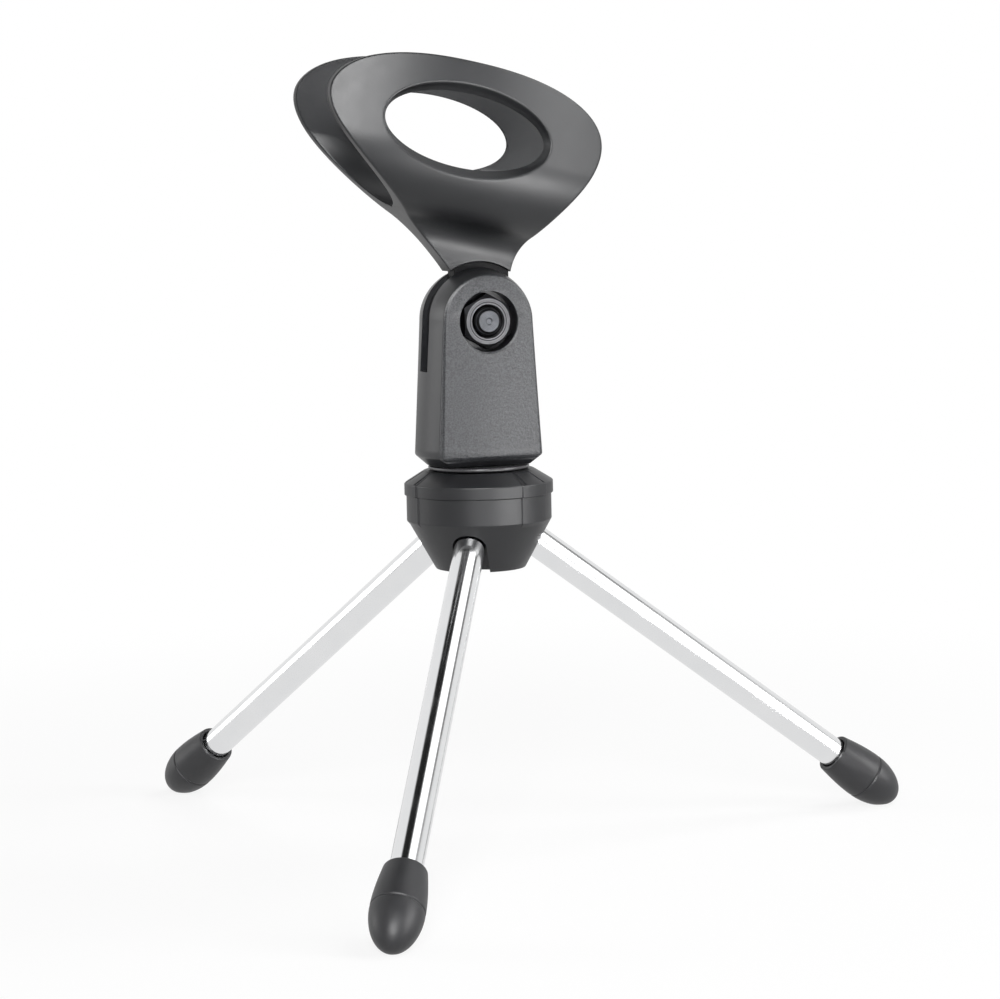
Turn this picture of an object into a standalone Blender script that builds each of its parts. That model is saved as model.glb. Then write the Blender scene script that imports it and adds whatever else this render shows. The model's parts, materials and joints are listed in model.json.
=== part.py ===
"""Desktop microphone stand: three folding tube legs with rubber feet, a two-piece hub, a threaded stud, and
a U-shaped microphone clip that tilts in a clevis.

Metres, +Z up. The stand is at rest on z = 0 with its legs spread. The clip is symmetric about the plane
y = 0, and the pivot nut faces -Y. The origin is under the middle of the whole stand's footprint, so the hub's
axis stands a little to the -X side of it.
"""

import math

import bmesh
import bpy
import numpy as np
from mathutils import Matrix, Vector

MM = 0.001
GAP = 0.3 * MM  # between pieces that touch

# Legs and feet
LEG_NAMES = {"right": 0.0, "rear": 120.0, "front": 240.0}  # degrees about the hub's axis, from +X
LEG_SPREAD = math.radians(53.2)  # from the vertical, where a leg rests on its stop
LEG_REACH = 101.0 * MM  # from the pin to the widest ring of the foot
LEG_RADIUS = 3.25 * MM
LEG_WALL = 0.8 * MM
PIN_OFFSET = 8.0 * MM  # from the hub's axis
PIN_RADIUS = 1.25 * MM
PIN_SEAT = 2.2 * MM  # length of pin held in each cheek of a slot
FOOT_RADIUS = 5.3 * MM
FOOT_TIP = 9.2 * MM  # from the widest ring to the tip
FOOT_SKIRT = 9.5 * MM  # from the widest ring up to the collar
FOOT_COLLAR_RADIUS = 4.3 * MM
FOOT_BORE_DEPTH = 13.0 * MM
FOOT_BORE_CLEARANCE = 0.2 * MM
FOOT_FLAT = 0.3 * MM  # depth of the worn flat that stands on the table

# Hub, from its underside up
HUB_UNDER_RADIUS = 9.4 * MM
HUB_RADIUS = 15.1 * MM
HUB_EDGE = 0.5 * MM
HUB_TAPER = 10.3 * MM
BODY_WALL = 5.4 * MM
CAP_WALL = 2.25 * MM
CAP_CHAMFER = 2.45 * MM
CAP_TOP_RADIUS = 11.6 * MM
CAP_OVERHANG = 0.4 * MM
CORNER_RAISE = 0.25 * MM  # height of the three corner panels
CORNER_STEP = 0.1 * MM  # by which they stop short of the joint line and the top
CORNER_SPAN = math.radians(28.0)
PIN_HEIGHT = 8.2 * MM  # above the underside
SLOT_CLEARANCE = 0.35 * MM  # round a leg, on every side
POST_TANGENTIAL = 1.8 * MM  # size along the pin of each post that holds it down

# Stud and the screw that clamps the hub together
STUD_RADIUS = 4.76 * MM
THREAD_PITCH = 1.5875 * MM
THREAD_DEPTH = 0.8 * MM
THREAD_TURNS = 7
STUD_LEAD = 0.8 * MM  # plain end above the thread
THREAD_CLEARANCE = 0.35 * MM
FLANGE_RADIUS = 10.6 * MM
FLANGE_HEIGHT = 0.7 * MM
SPIGOT_RADIUS = 3.9 * MM
SPIGOT_LENGTH = 2.2 * MM
SCREW_RADIUS = 1.5 * MM
SCREW_HEAD_RADIUS = 2.75 * MM
SCREW_HEAD_HEIGHT = 2.2 * MM
SCREW_CROWN_RADIUS = 1.9 * MM
SCREW_CROWN = 0.7 * MM
SCREW_ENGAGEMENT = 9.0 * MM  # in the stud
SCREW_RECESS = 3.2 * MM  # depth of the counterbore under the hub
SCREW_CROSS_LENGTH = 3.4 * MM
SCREW_CROSS_WIDTH = 0.7 * MM
SCREW_CROSS_DEPTH = 1.1 * MM

# Clevis
CLEVIS_CHAMFER = 2.2 * MM
CLEVIS_LENGTH = 27.8 * MM  # from the lip up to the pivot
CLEVIS_FOOT_WIDTH = 13.0 * MM  # half of the width at the lip
CLEVIS_FOOT_DEPTH = 9.05 * MM  # half of the depth at the lip
CLEVIS_FOOT_BULGE = 2.2 * MM  # how far the sides bulge past the flats' edges, at the lip
CLEVIS_HEAD_RADIUS = 11.05 * MM
CLEVIS_HEAD_DEPTH = 8.5 * MM
CLEVIS_HEAD_BULGE = 1.5 * MM
SLOT_FLOOR = 10.4 * MM  # below the pivot
TONGUE_THICKNESS = 4.0 * MM
BOLT_RADIUS = 3.0 * MM
BOLT_HOLE_CLEARANCE = 0.25 * MM
BOLT_END_CHAMFER = 0.75 * MM
HEX_ACROSS = 10.0 * MM
HEX_CHAMFER = math.radians(30.0)
NUT_HEIGHT = 3.2 * MM
BOLT_HEAD_HEIGHT = 3.8 * MM
EAR_AT_RECESS = 2.2 * MM  # wall left between the slot and each recess
NUT_RECESS_RADIUS = 6.3 * MM
BOLT_PAST_NUT = 0.6 * MM

# Clip, placed from the pivot
WING_TILT = math.radians(12.5)  # the microphone's axis dips towards +X
WING_X = -5.6 * MM
WING_HEIGHT = 40.2 * MM
WING_HALF_LENGTH = 29.9 * MM
WING_HALF_HEIGHT = 13.1 * MM
WING_SQUARENESS = 2.3  # exponent of the wing's outline, where 2 is an ellipse
WINDOW_DROP = 1.0 * MM  # the window's centre below the wing's
WINDOW_SHIFT = 0.5 * MM  # and towards the low end
WINDOW_HALF_LENGTH = 18.1 * MM
WINDOW_HALF_HEIGHT = 9.4 * MM
WINDOW_END_BEVEL = 0.9 * MM  # how much smaller the window is at the wing's inner face
WINDOW_SIDE_BEVEL = 1.9 * MM
CUT_PAST = 2.0 * MM  # how far a cutter runs past the wall that it cuts
CRADLE_RADIUS = 13.1 * MM  # of the middle of the wall
CRADLE_DROP = 5.5 * MM  # the cradle's centre below the window's
CLIP_WALL = 2.5 * MM
WING_LEAN = math.radians(8.3)
NECK_THICKNESS = 5.7 * MM
NECK_FILLET = 6.0 * MM
NECK_CLEARANCE = 1.5 * MM  # between the neck's arc and the clevis's head
NECK_FRONT = 7.0 * MM
NECK_BACK = 6.0 * MM
NECK_RISE = 10.0 * MM  # height of the neck's lower corners above the pivot
FRONT_LEAVES = math.radians(4.0)  # where each flank leaves the wing's ellipse
BACK_LEAVES = math.radians(166.0)
FRONT_HANDLES = (8.5 * MM, 9.0 * MM)  # reach of the flank's curve at the wing and at the neck
BACK_HANDLES = (11.0 * MM, 17.0 * MM)
FRONT_FLARE = math.radians(8.0)  # lean of the flank where it leaves the neck
BACK_FLARE = math.radians(32.0)
TONGUE_RADIUS = 9.9 * MM
TONGUE_ROOT = 4.0 * MM  # how far the tongue runs up into the neck

# Facets
FINE_STEPS = 48
ROUND_STEPS = 32
SMALL_STEPS = 24
DOME_STEPS = 6
FOOT_STEPS = 7
HEAD_STEPS = 18
SIDE_STEPS = 6
WING_STEPS = 24
FLANK_STEPS = 12
WINDOW_STEPS = 40
CRADLE_STEPS = 13
FILLET_STEPS = 6

# Levels and places that follow from the sizes above
FOOT_SUPPORT = math.hypot(FOOT_TIP * math.cos(LEG_SPREAD), FOOT_RADIUS * math.sin(LEG_SPREAD))
PIN_Z = LEG_REACH * math.cos(LEG_SPREAD) + FOOT_SUPPORT - FOOT_FLAT
HUB_UNDER_Z = PIN_Z - PIN_HEIGHT
BODY_TOP_Z = HUB_UNDER_Z + HUB_TAPER + BODY_WALL
CAP_UNDER_Z = BODY_TOP_Z + GAP
CAP_TOP_Z = CAP_UNDER_Z + CAP_WALL + CAP_CHAMFER
FLANGE_Z = CAP_TOP_Z + GAP
THREAD_Z = FLANGE_Z + FLANGE_HEIGHT
STUD_TOP_Z = THREAD_Z + THREAD_TURNS * THREAD_PITCH + STUD_LEAD
CLEVIS_UNDER_Z = THREAD_Z + GAP
LIP_Z = CLEVIS_UNDER_Z + CLEVIS_CHAMFER
PIVOT_Z = LIP_Z + CLEVIS_LENGTH
SLOT_RADIUS = LEG_RADIUS + SLOT_CLEARANCE
NECK_ARC = CLEVIS_HEAD_RADIUS + NECK_CLEARANCE
RECESS_FLOOR = TONGUE_THICKNESS / 2 + GAP + EAR_AT_RECESS


def foot_extent(along):
    """How far the foot's egg reaches from its widest ring, in a direction at this cosine to the leg."""
    return math.sqrt((FOOT_TIP * along) ** 2 + FOOT_RADIUS**2 * (1 - along**2))


def hub_place():
    """The hub axis's x that centres the footprint: one foot points along +X and two at 60 degrees off -X."""
    ring = PIN_OFFSET + LEG_REACH * math.sin(LEG_SPREAD)
    right = ring + foot_extent(math.sin(LEG_SPREAD))
    left = ring / 2 + foot_extent(math.sin(LEG_SPREAD) / 2)
    return (left - right) / 2


HUB_X = hub_place()


# Helpers


def clear_scene():
    for obj in list(bpy.data.objects):
        bpy.data.objects.remove(obj, do_unlink=True)


def new_collection(name):
    collection = bpy.data.collections.new(name)
    bpy.context.scene.collection.children.link(collection)
    return collection


clear_scene()
PARTS = new_collection("desktop_mic_stand")
CUTTERS = new_collection("cutters")


def material(name, colour, roughness, metallic=0.0):
    made = bpy.data.materials.new(name)
    made.use_nodes = True
    shader = made.node_tree.nodes["Principled BSDF"]
    shader.inputs["Base Color"].default_value = (*colour, 1.0)
    shader.inputs["Roughness"].default_value = roughness
    shader.inputs["Metallic"].default_value = metallic
    return made


CLIP_PLASTIC = material("clip_plastic", (0.030, 0.031, 0.033), 0.42)
CLEVIS_PLASTIC = material("clevis_plastic", (0.040, 0.041, 0.043), 0.55)
HUB_PLASTIC = material("hub_plastic", (0.028, 0.028, 0.030), 0.45)
STUD_PLASTIC = material("stud_plastic", (0.035, 0.035, 0.036), 0.40)
RUBBER = material("foot_rubber", (0.022, 0.022, 0.023), 0.65)
CHROME = material("leg_chrome", (0.80, 0.80, 0.81), 0.08, 1.0)
NUT_STEEL = material("nut_steel", (0.20, 0.20, 0.21), 0.38, 1.0)
PIN_STEEL = material("pin_steel", (0.45, 0.45, 0.46), 0.35, 1.0)


def empty(name, location, rotation=(0, 0, 0), parent=None):
    obj = bpy.data.objects.new(name, None)
    obj.empty_display_size = 0.01
    obj.location = location
    obj.rotation_euler = rotation
    obj.parent = parent
    PARTS.objects.link(obj)
    return obj


def add_object(name, mesh, parent=None, paint=None):
    """A part where a paint is given, and otherwise a hidden cutter."""
    obj = bpy.data.objects.new(name, mesh)
    obj.parent = parent
    if paint is None:
        obj.hide_render = True
        obj.display_type = "WIRE"
        CUTTERS.objects.link(obj)
    else:
        mesh.materials.clear()
        mesh.materials.append(paint)
        PARTS.objects.link(obj)
    return obj


def mesh_of(name, verts, faces):
    """A closed mesh of points and faces, with its faces turned outwards."""
    mesh = bpy.data.meshes.new(name)
    mesh.from_pydata([tuple(v) for v in verts], [], faces)
    shell = bmesh.new()
    shell.from_mesh(mesh)
    bmesh.ops.recalc_face_normals(shell, faces=shell.faces)
    shell.to_mesh(mesh)
    shell.free()
    return mesh


def turned(name, profile, steps, parent=None, paint=None):
    """A profile of (radius, height) turned about Z, down its outer side. Off the axis it is closed."""
    count = len(profile)
    edges = [(i, i + 1) for i in range(count - 1)]
    if profile[0][0] > 0:
        edges.append((count - 1, 0))
    mesh = bpy.data.meshes.new(name)
    mesh.from_pydata([(r, 0.0, z) for r, z in profile], edges, [])
    obj = add_object(name, mesh, parent, paint)
    screw = obj.modifiers.new("turn", "SCREW")
    screw.angle = 2 * math.pi
    screw.steps = steps
    screw.render_steps = steps
    screw.use_merge_vertices = True
    screw.merge_threshold = 1e-6
    screw.use_smooth_shade = True
    return obj


def prism(name, outline, depth, parent=None, paint=None):
    """A flat outline, or a list of them, extruded equally both ways along local Z by depth in all."""
    curve = bpy.data.curves.new(name, "CURVE")
    curve.dimensions = "2D"
    curve.fill_mode = "BOTH"
    curve.extrude = depth / 2
    outlines = outline if isinstance(outline[0][0], (tuple, list)) else [outline]
    for points in outlines:
        spline = curve.splines.new("POLY")
        spline.points.add(len(points) - 1)
        for point, (x, y) in zip(spline.points, points):
            point.co = (x, y, 0.0, 1.0)
        spline.use_cyclic_u = True
    source = bpy.data.objects.new(name + "_curve", curve)
    bpy.context.scene.collection.objects.link(source)
    graph = bpy.context.evaluated_depsgraph_get()
    mesh = bpy.data.meshes.new_from_object(source.evaluated_get(graph))
    bpy.data.objects.remove(source, do_unlink=True)
    shell = bmesh.new()
    shell.from_mesh(mesh)
    bmesh.ops.remove_doubles(shell, verts=shell.verts, dist=1e-6)
    bmesh.ops.recalc_face_normals(shell, faces=shell.faces)
    shell.to_mesh(mesh)
    shell.free()
    mesh.name = name
    return add_object(name, mesh, parent, paint)


def box(name, low, high, parent=None):
    """A box between two corners."""
    shell = bmesh.new()
    bmesh.ops.create_cube(shell, size=1.0)
    low, high = Vector(low), Vector(high)
    size = high - low
    bmesh.ops.scale(shell, vec=size, verts=shell.verts)
    bmesh.ops.translate(shell, vec=(low + high) / 2, verts=shell.verts)
    mesh = bpy.data.meshes.new(name)
    shell.to_mesh(mesh)
    shell.free()
    return add_object(name, mesh, parent)


def rod(name, radius, low, high, steps, axis="Z", parent=None, paint=None):
    """A cylinder about a local axis, from low to high along it."""
    shell = bmesh.new()
    bmesh.ops.create_cone(
        shell, cap_ends=True, segments=steps, radius1=radius, radius2=radius, depth=high - low
    )
    bmesh.ops.translate(shell, vec=(0, 0, (low + high) / 2), verts=shell.verts)
    if axis == "Y":
        bmesh.ops.rotate(shell, matrix=Matrix.Rotation(-math.pi / 2, 3, "X"), verts=shell.verts)
    mesh = bpy.data.meshes.new(name)
    shell.to_mesh(mesh)
    shell.free()
    return add_object(name, mesh, parent, paint)


def combine(target, other, operation):
    step = target.modifiers.new(f"{operation.lower()} {other.name}", "BOOLEAN")
    step.operation = operation
    step.solver = "EXACT"
    step.object = other


def arc(radius, start, end, count, centre=(0.0, 0.0)):
    """Points on an arc, both ends included, with the angles in radians."""
    angles = np.linspace(start, end, count)
    return [(centre[0] + radius * math.cos(a), centre[1] + radius * math.sin(a)) for a in angles]


def dome(radius):
    """A quarter circle from the pole on the axis down to the equator."""
    return [(0.0, radius)] + arc(radius, math.pi / 2, 0.0, DOME_STEPS + 1)[1:]


def bezier(a, b, c, d, count):
    """Points on a cubic curve from a to d, without its first point."""
    t = np.linspace(0.0, 1.0, count + 1)[1:, None]
    a, b, c, d = (np.array(p) for p in (a, b, c, d))
    points = (1 - t) ** 3 * a + 3 * t * (1 - t) ** 2 * b + 3 * t**2 * (1 - t) * c + t**3 * d
    return [tuple(p) for p in points.tolist()]


def smooth(obj, angle=math.radians(35)):
    """Smooth shading on the round faces of a mesh that is not made by a Screw."""
    obj.data.shade_smooth()
    obj.data.set_sharp_from_angle(angle=angle)


# Base: hub, pins, stud and screw


def corner_wedges():
    """Three wedges between the legs, which keep a raised ring only at the hub's corners."""
    half = CORNER_SPAN / 2
    inner, outer = PIN_OFFSET, HUB_RADIUS * 1.5
    wedges = []
    for degrees in LEG_NAMES.values():
        middle = math.radians(degrees + 60.0)
        near = arc(inner, middle - half, middle + half, 2)
        far = arc(outer, middle + half, middle - half, 2)
        wedges.append(near + far)
    wedge = prism("corner_wedges", wedges, 4 * HUB_RADIUS, BASE)
    wedge.location.z = PIN_Z
    return wedge


def hub_body():
    wall_z = HUB_UNDER_Z + HUB_TAPER
    hole = SCREW_RADIUS + GAP
    recess = SCREW_HEAD_RADIUS + GAP
    ceiling = HUB_UNDER_Z + SCREW_RECESS
    body = turned(
        "hub_body",
        [
            (hole, BODY_TOP_Z),
            (HUB_RADIUS, BODY_TOP_Z),
            (HUB_RADIUS, wall_z),
            (HUB_UNDER_RADIUS + HUB_EDGE, HUB_UNDER_Z + HUB_EDGE),
            (HUB_UNDER_RADIUS, HUB_UNDER_Z),
            (recess, HUB_UNDER_Z),
            (recess, ceiling),
            (hole, ceiling),
        ],
        FINE_STEPS,
        BASE,
        HUB_PLASTIC,
    )
    corner_radius = HUB_RADIUS + CORNER_RAISE
    taper = (HUB_RADIUS - HUB_UNDER_RADIUS) / HUB_TAPER
    corners = turned(
        "body_corner_ring",
        [
            (HUB_UNDER_RADIUS, BODY_TOP_Z - CORNER_STEP),
            (corner_radius, BODY_TOP_Z - CORNER_STEP),
            (corner_radius, wall_z),
            (HUB_RADIUS - taper * BODY_WALL, wall_z - BODY_WALL),
            (HUB_UNDER_RADIUS, wall_z - BODY_WALL),
        ],
        FINE_STEPS,
        BASE,
    )
    combine(corners, WEDGES, "INTERSECT")
    combine(body, corners, "UNION")
    for name, leg in LEGS.items():
        for cutter in leg_slot(name, leg):
            combine(body, cutter, "DIFFERENCE")
    return body


def leg_slot(name, leg):
    """The space that a leg sweeps from its stop to the vertical, and the groove that its pin drops into."""
    reach = LEG_REACH / 2
    bore = turned(
        f"slot_bore_{name}",
        dome(SLOT_RADIUS) + [(SLOT_RADIUS, -reach), (0.0, -reach)],
        SMALL_STEPS,
        leg,
    )
    along = Vector((math.sin(LEG_SPREAD), -math.cos(LEG_SPREAD))) * reach
    sweep = prism(
        f"slot_sweep_{name}",
        [(0.0, 0.0), (-SLOT_RADIUS, 0.0), (-SLOT_RADIUS, along.y), (along.x, along.y)],
        2 * SLOT_RADIUS,
        PINS[name],
    )
    sweep.rotation_euler = (math.pi / 2, 0, 0)
    across = PIN_RADIUS + GAP
    half = SLOT_RADIUS + PIN_SEAT + GAP
    groove = box(
        f"pin_groove_{name}",
        (-across, -half, -across),
        (across, half, BODY_TOP_Z - PIN_Z + GAP),
        PINS[name],
    )
    return bore, sweep, groove


def hub_cap():
    rim = HUB_RADIUS + CAP_OVERHANG
    wall_top = CAP_UNDER_Z + CAP_WALL
    hole = SPIGOT_RADIUS + GAP
    cap = turned(
        "hub_cap",
        [
            (hole, CAP_TOP_Z),
            (CAP_TOP_RADIUS, CAP_TOP_Z),
            (rim, wall_top),
            (rim, CAP_UNDER_Z),
            (hole, CAP_UNDER_Z),
        ],
        FINE_STEPS,
        BASE,
        HUB_PLASTIC,
    )
    raise_to = rim + CORNER_RAISE
    inside = (CAP_TOP_RADIUS + hole) / 2
    corners = turned(
        "cap_corner_ring",
        [
            (inside, CAP_TOP_Z - CORNER_STEP),
            (CAP_TOP_RADIUS + CORNER_RAISE, CAP_TOP_Z - CORNER_STEP),
            (raise_to, wall_top + CORNER_RAISE / 2),
            (raise_to, CAP_UNDER_Z + CORNER_STEP),
            (inside, CAP_UNDER_Z + CORNER_STEP),
        ],
        FINE_STEPS,
        BASE,
    )
    combine(corners, WEDGES, "INTERSECT")
    combine(cap, corners, "UNION")
    low = PIN_RADIUS + GAP
    middle = SLOT_RADIUS + PIN_SEAT / 2
    for name in LEGS:
        for side in (-1, 1):
            y = side * middle
            post = box(
                f"pin_post_{name}_{'left' if side > 0 else 'right'}",
                (-PIN_RADIUS, y - POST_TANGENTIAL / 2, low),
                (PIN_RADIUS, y + POST_TANGENTIAL / 2, CAP_UNDER_Z - PIN_Z + CAP_WALL / 2),
                PINS[name],
            )
            combine(cap, post, "UNION")
    return cap


def leg_pin(name):
    half = SLOT_RADIUS + PIN_SEAT
    pin = rod(f"leg_pin_{name}", PIN_RADIUS, -half, half, SMALL_STEPS, "Y", PINS[name], PIN_STEEL)
    smooth(pin)
    return pin


def thread_rings(crest, base):
    """Crests and roots of the thread as closed rings, from the top down."""
    root = crest - THREAD_DEPTH
    flat = THREAD_PITCH / 4
    points = []
    for turn in range(THREAD_TURNS, 0, -1):
        top = base + turn * THREAD_PITCH - flat / 2
        points += [(crest, top), (crest, top - flat), (root, top - 2 * flat), (root, top - 3 * flat)]
    return points


def thread_stud():
    root = STUD_RADIUS - THREAD_DEPTH
    bore = SCREW_RADIUS + GAP
    spigot_z = FLANGE_Z - SPIGOT_LENGTH
    bore_top = spigot_z + SCREW_ENGAGEMENT + GAP
    profile = [(0.0, STUD_TOP_Z), (root, STUD_TOP_Z)]
    profile += thread_rings(STUD_RADIUS, THREAD_Z)[:-1]
    profile += [
        (root, THREAD_Z),
        (FLANGE_RADIUS, THREAD_Z),
        (FLANGE_RADIUS, FLANGE_Z),
        (SPIGOT_RADIUS, FLANGE_Z),
        (SPIGOT_RADIUS, spigot_z),
        (bore, spigot_z),
        (bore, bore_top),
        (0.0, bore_top),
    ]
    return turned("thread_stud", profile, ROUND_STEPS, BASE, STUD_PLASTIC)


def hub_screw():
    head_top = HUB_UNDER_Z + SCREW_RECESS - GAP
    head_low = head_top - SCREW_HEAD_HEIGHT
    tip = FLANGE_Z - SPIGOT_LENGTH + SCREW_ENGAGEMENT
    screw = turned(
        "hub_screw",
        [
            (0.0, tip),
            (SCREW_RADIUS, tip),
            (SCREW_RADIUS, head_top),
            (SCREW_HEAD_RADIUS, head_top),
            (SCREW_HEAD_RADIUS, head_low + SCREW_CROWN),
            (SCREW_CROWN_RADIUS, head_low),
            (0.0, head_low),
        ],
        SMALL_STEPS,
        BASE,
        PIN_STEEL,
    )
    arms = {"x": (SCREW_CROSS_LENGTH, SCREW_CROSS_WIDTH), "y": (SCREW_CROSS_WIDTH, SCREW_CROSS_LENGTH)}
    for arm, (x, y) in arms.items():
        slot = box(
            f"screw_cross_{arm}",
            (-x / 2, -y / 2, head_low - GAP),
            (x / 2, y / 2, head_low + SCREW_CROSS_DEPTH),
            BASE,
        )
        combine(screw, slot, "DIFFERENCE")
    return screw


# Legs


def leg_tube(name, leg):
    length = LEG_REACH - FOOT_SKIRT + FOOT_BORE_DEPTH - GAP
    inner = LEG_RADIUS - LEG_WALL
    profile = dome(LEG_RADIUS) + [(LEG_RADIUS, -length), (inner, -length)] + dome(inner)[::-1]
    tube = turned(f"leg_tube_{name}", profile, SMALL_STEPS, leg, CHROME)
    reach = LEG_RADIUS + GAP
    hole = rod(f"pin_hole_{name}", PIN_RADIUS + GAP, -reach, reach, SMALL_STEPS, "Y", leg)
    combine(tube, hole, "DIFFERENCE")
    return tube


def foot_profile():
    """Up the bore that the tube fills, down the skirt from collar to widest ring, and round the tip."""
    bore = LEG_RADIUS + FOOT_BORE_CLEARANCE
    floor = FOOT_SKIRT - FOOT_BORE_DEPTH
    swell = FOOT_RADIUS - FOOT_COLLAR_RADIUS
    quarter = np.linspace(0.0, math.pi / 2, FOOT_STEPS + 1)[:-1].tolist()
    skirt = [(FOOT_COLLAR_RADIUS + swell * math.sin(a), FOOT_SKIRT * (1 - a * 2 / math.pi)) for a in quarter]
    tip = [(FOOT_RADIUS * math.cos(a), -FOOT_TIP * math.sin(a)) for a in quarter]
    return [(0.0, floor), (bore, floor), (bore, FOOT_SKIRT)] + skirt + tip + [(0.0, -FOOT_TIP)]


def leg_foot(name, leg):
    profile = [(r, z - LEG_REACH) for r, z in foot_profile()]
    foot = turned(f"leg_foot_{name}", profile, SMALL_STEPS, leg, RUBBER)
    combine(foot, TABLE, "DIFFERENCE")
    return foot


# Swivel: clevis, bolt and nut


def clevis_depth(z):
    """Half of the clevis's depth between its flats at a height above the lip."""
    return CLEVIS_FOOT_DEPTH + (CLEVIS_HEAD_DEPTH - CLEVIS_FOOT_DEPTH) * z / CLEVIS_LENGTH


def clevis_row(width, bulge, angle, rise, across):
    """One row of points from flat to flat, of this half-width at its middle, turned round the head."""
    edge = width - bulge
    half = clevis_depth(rise + edge * math.sin(angle))
    points = []
    for share in across:
        reach = width - bulge * share**2
        points.append((reach * math.cos(angle), half * share, LIP_Z + rise + reach * math.sin(angle)))
    return points


def clevis_shell():
    """Up one side, over the round head and down the other side, with the two flats and a chamfered foot."""
    across = np.linspace(-1.0, 1.0, SIDE_STEPS + 1)
    rows = [clevis_row(CLEVIS_FOOT_WIDTH, CLEVIS_FOOT_BULGE, 0.0, 0.0, across)]
    for angle in np.linspace(0.0, math.pi, HEAD_STEPS + 1):
        rows.append(clevis_row(CLEVIS_HEAD_RADIUS, CLEVIS_HEAD_BULGE, angle, CLEVIS_LENGTH, across))
    rows.append([(-x, y, z) for x, y, z in rows[0]])
    size = len(across)
    verts = [p for row in rows for p in row]
    faces = []
    for i in range(len(rows) - 1):
        for j in range(size - 1):
            a = i * size + j
            faces.append((a, a + 1, a + size + 1, a + size))
    faces.append([i * size for i in range(len(rows))])
    faces.append([i * size + size - 1 for i in reversed(range(len(rows)))])
    last = (len(rows) - 1) * size
    loop = list(range(size)) + [last + j for j in reversed(range(size))]
    inset_x = 1 - CLEVIS_CHAMFER / CLEVIS_FOOT_WIDTH
    inset_y = 1 - CLEVIS_CHAMFER / CLEVIS_FOOT_DEPTH
    base = len(verts)
    verts += [(verts[i][0] * inset_x, verts[i][1] * inset_y, CLEVIS_UNDER_Z) for i in loop]
    count = len(loop)
    for i in range(count):
        j = (i + 1) % count
        faces.append((loop[j], loop[i], base + i, base + j))
    faces.append([base + i for i in range(count)])
    return mesh_of("clevis", verts, faces)


def hex_outline(across):
    corner = across / math.sqrt(3)
    return arc(corner, math.pi / 6, math.pi / 6 + 2 * math.pi, 7)[:-1]


def clevis():
    part = add_object("clevis", clevis_shell(), SWIVEL, CLEVIS_PLASTIC)
    smooth(part)
    wide = 2 * CLEVIS_FOOT_WIDTH
    half = TONGUE_THICKNESS / 2 + GAP
    slot = box("clip_slot", (-wide, -half, PIVOT_Z - SLOT_FLOOR), (wide, half, PIVOT_Z + wide), SWIVEL)
    socket_top = STUD_TOP_Z + 2 * GAP
    crest = STUD_RADIUS + THREAD_CLEARANCE
    root = crest - THREAD_DEPTH
    socket_profile = [(0.0, socket_top), (root, socket_top)]
    socket_profile += thread_rings(crest, THREAD_Z)[:-1]
    socket_profile += [(root, THREAD_Z - GAP), (0.0, THREAD_Z - GAP)]
    socket = turned("thread_socket", socket_profile, ROUND_STEPS, SWIVEL)
    deep = 2 * CLEVIS_FOOT_DEPTH
    hole = rod("bolt_hole", BOLT_RADIUS + BOLT_HOLE_CLEARANCE, -deep, deep, SMALL_STEPS, "Y", TILT)
    recess = rod("nut_recess", NUT_RECESS_RADIUS, -deep, -RECESS_FLOOR, FINE_STEPS, "Y", TILT)
    pocket = prism("head_pocket", hex_outline(HEX_ACROSS + 2 * GAP), deep, TILT)
    pocket.rotation_euler = (math.pi / 2, 0, 0)
    pocket.location.y = RECESS_FLOOR + deep / 2
    for cutter in (slot, socket, hole, recess, pocket):
        combine(part, cutter, "DIFFERENCE")
    return part


def nut_blank(name, across, start, end, paint):
    """A hexagonal prism about the pivot's axis whose corners are chamfered at its outer end."""
    blank = prism(name, hex_outline(across), abs(end - start), TILT, paint)
    blank.rotation_euler = (math.pi / 2, 0, 0)
    blank.location.y = (start + end) / 2
    corner = across / math.sqrt(3)
    drop = (corner + GAP - across / 2) * math.tan(HEX_CHAMFER)
    outer = abs(end - start) / 2
    sign = 1 if end < start else -1
    ring = turned(
        name + "_chamfer",
        [
            (0.0, outer),
            (across / 2, outer),
            (corner + GAP, outer - drop),
            (corner + GAP, -outer - GAP),
            (0.0, -outer - GAP),
        ],
        ROUND_STEPS,
        TILT,
    )
    ring.rotation_euler = (sign * math.pi / 2, 0, 0)
    ring.location.y = (start + end) / 2
    combine(blank, ring, "INTERSECT")
    return blank


def pivot_nut():
    start = -(RECESS_FLOOR + GAP)
    nut = nut_blank("pivot_nut", HEX_ACROSS, start, start - NUT_HEIGHT, NUT_STEEL)
    deep = 2 * CLEVIS_FOOT_DEPTH
    thread = rod("nut_thread", BOLT_RADIUS + BOLT_HOLE_CLEARANCE, -deep, 0.0, SMALL_STEPS, "Y", TILT)
    combine(nut, thread, "DIFFERENCE")
    return nut


def pivot_bolt():
    start = RECESS_FLOOR + GAP
    bolt = nut_blank("pivot_bolt", HEX_ACROSS, start, start + BOLT_HEAD_HEIGHT, NUT_STEEL)
    end = RECESS_FLOOR + GAP + NUT_HEIGHT + BOLT_PAST_NUT
    shank = turned(
        "bolt_shank",
        [
            (0.0, end),
            (BOLT_RADIUS - BOLT_END_CHAMFER, end),
            (BOLT_RADIUS, end - BOLT_END_CHAMFER),
            (BOLT_RADIUS, -start - BOLT_HEAD_HEIGHT / 2),
            (0.0, -start - BOLT_HEAD_HEIGHT / 2),
        ],
        SMALL_STEPS,
        TILT,
    )
    shank.rotation_euler = (math.pi / 2, 0, 0)
    combine(bolt, shank, "UNION")
    return bolt


# Clip


def on_wings(along, up):
    """A point of the clip's side view, in x and height from the pivot, from the wing's own tilted axes."""
    cos, sin = math.cos(WING_TILT), math.sin(WING_TILT)
    return (WING_X + along * cos + up * sin, WING_HEIGHT - along * sin + up * cos)


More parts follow.
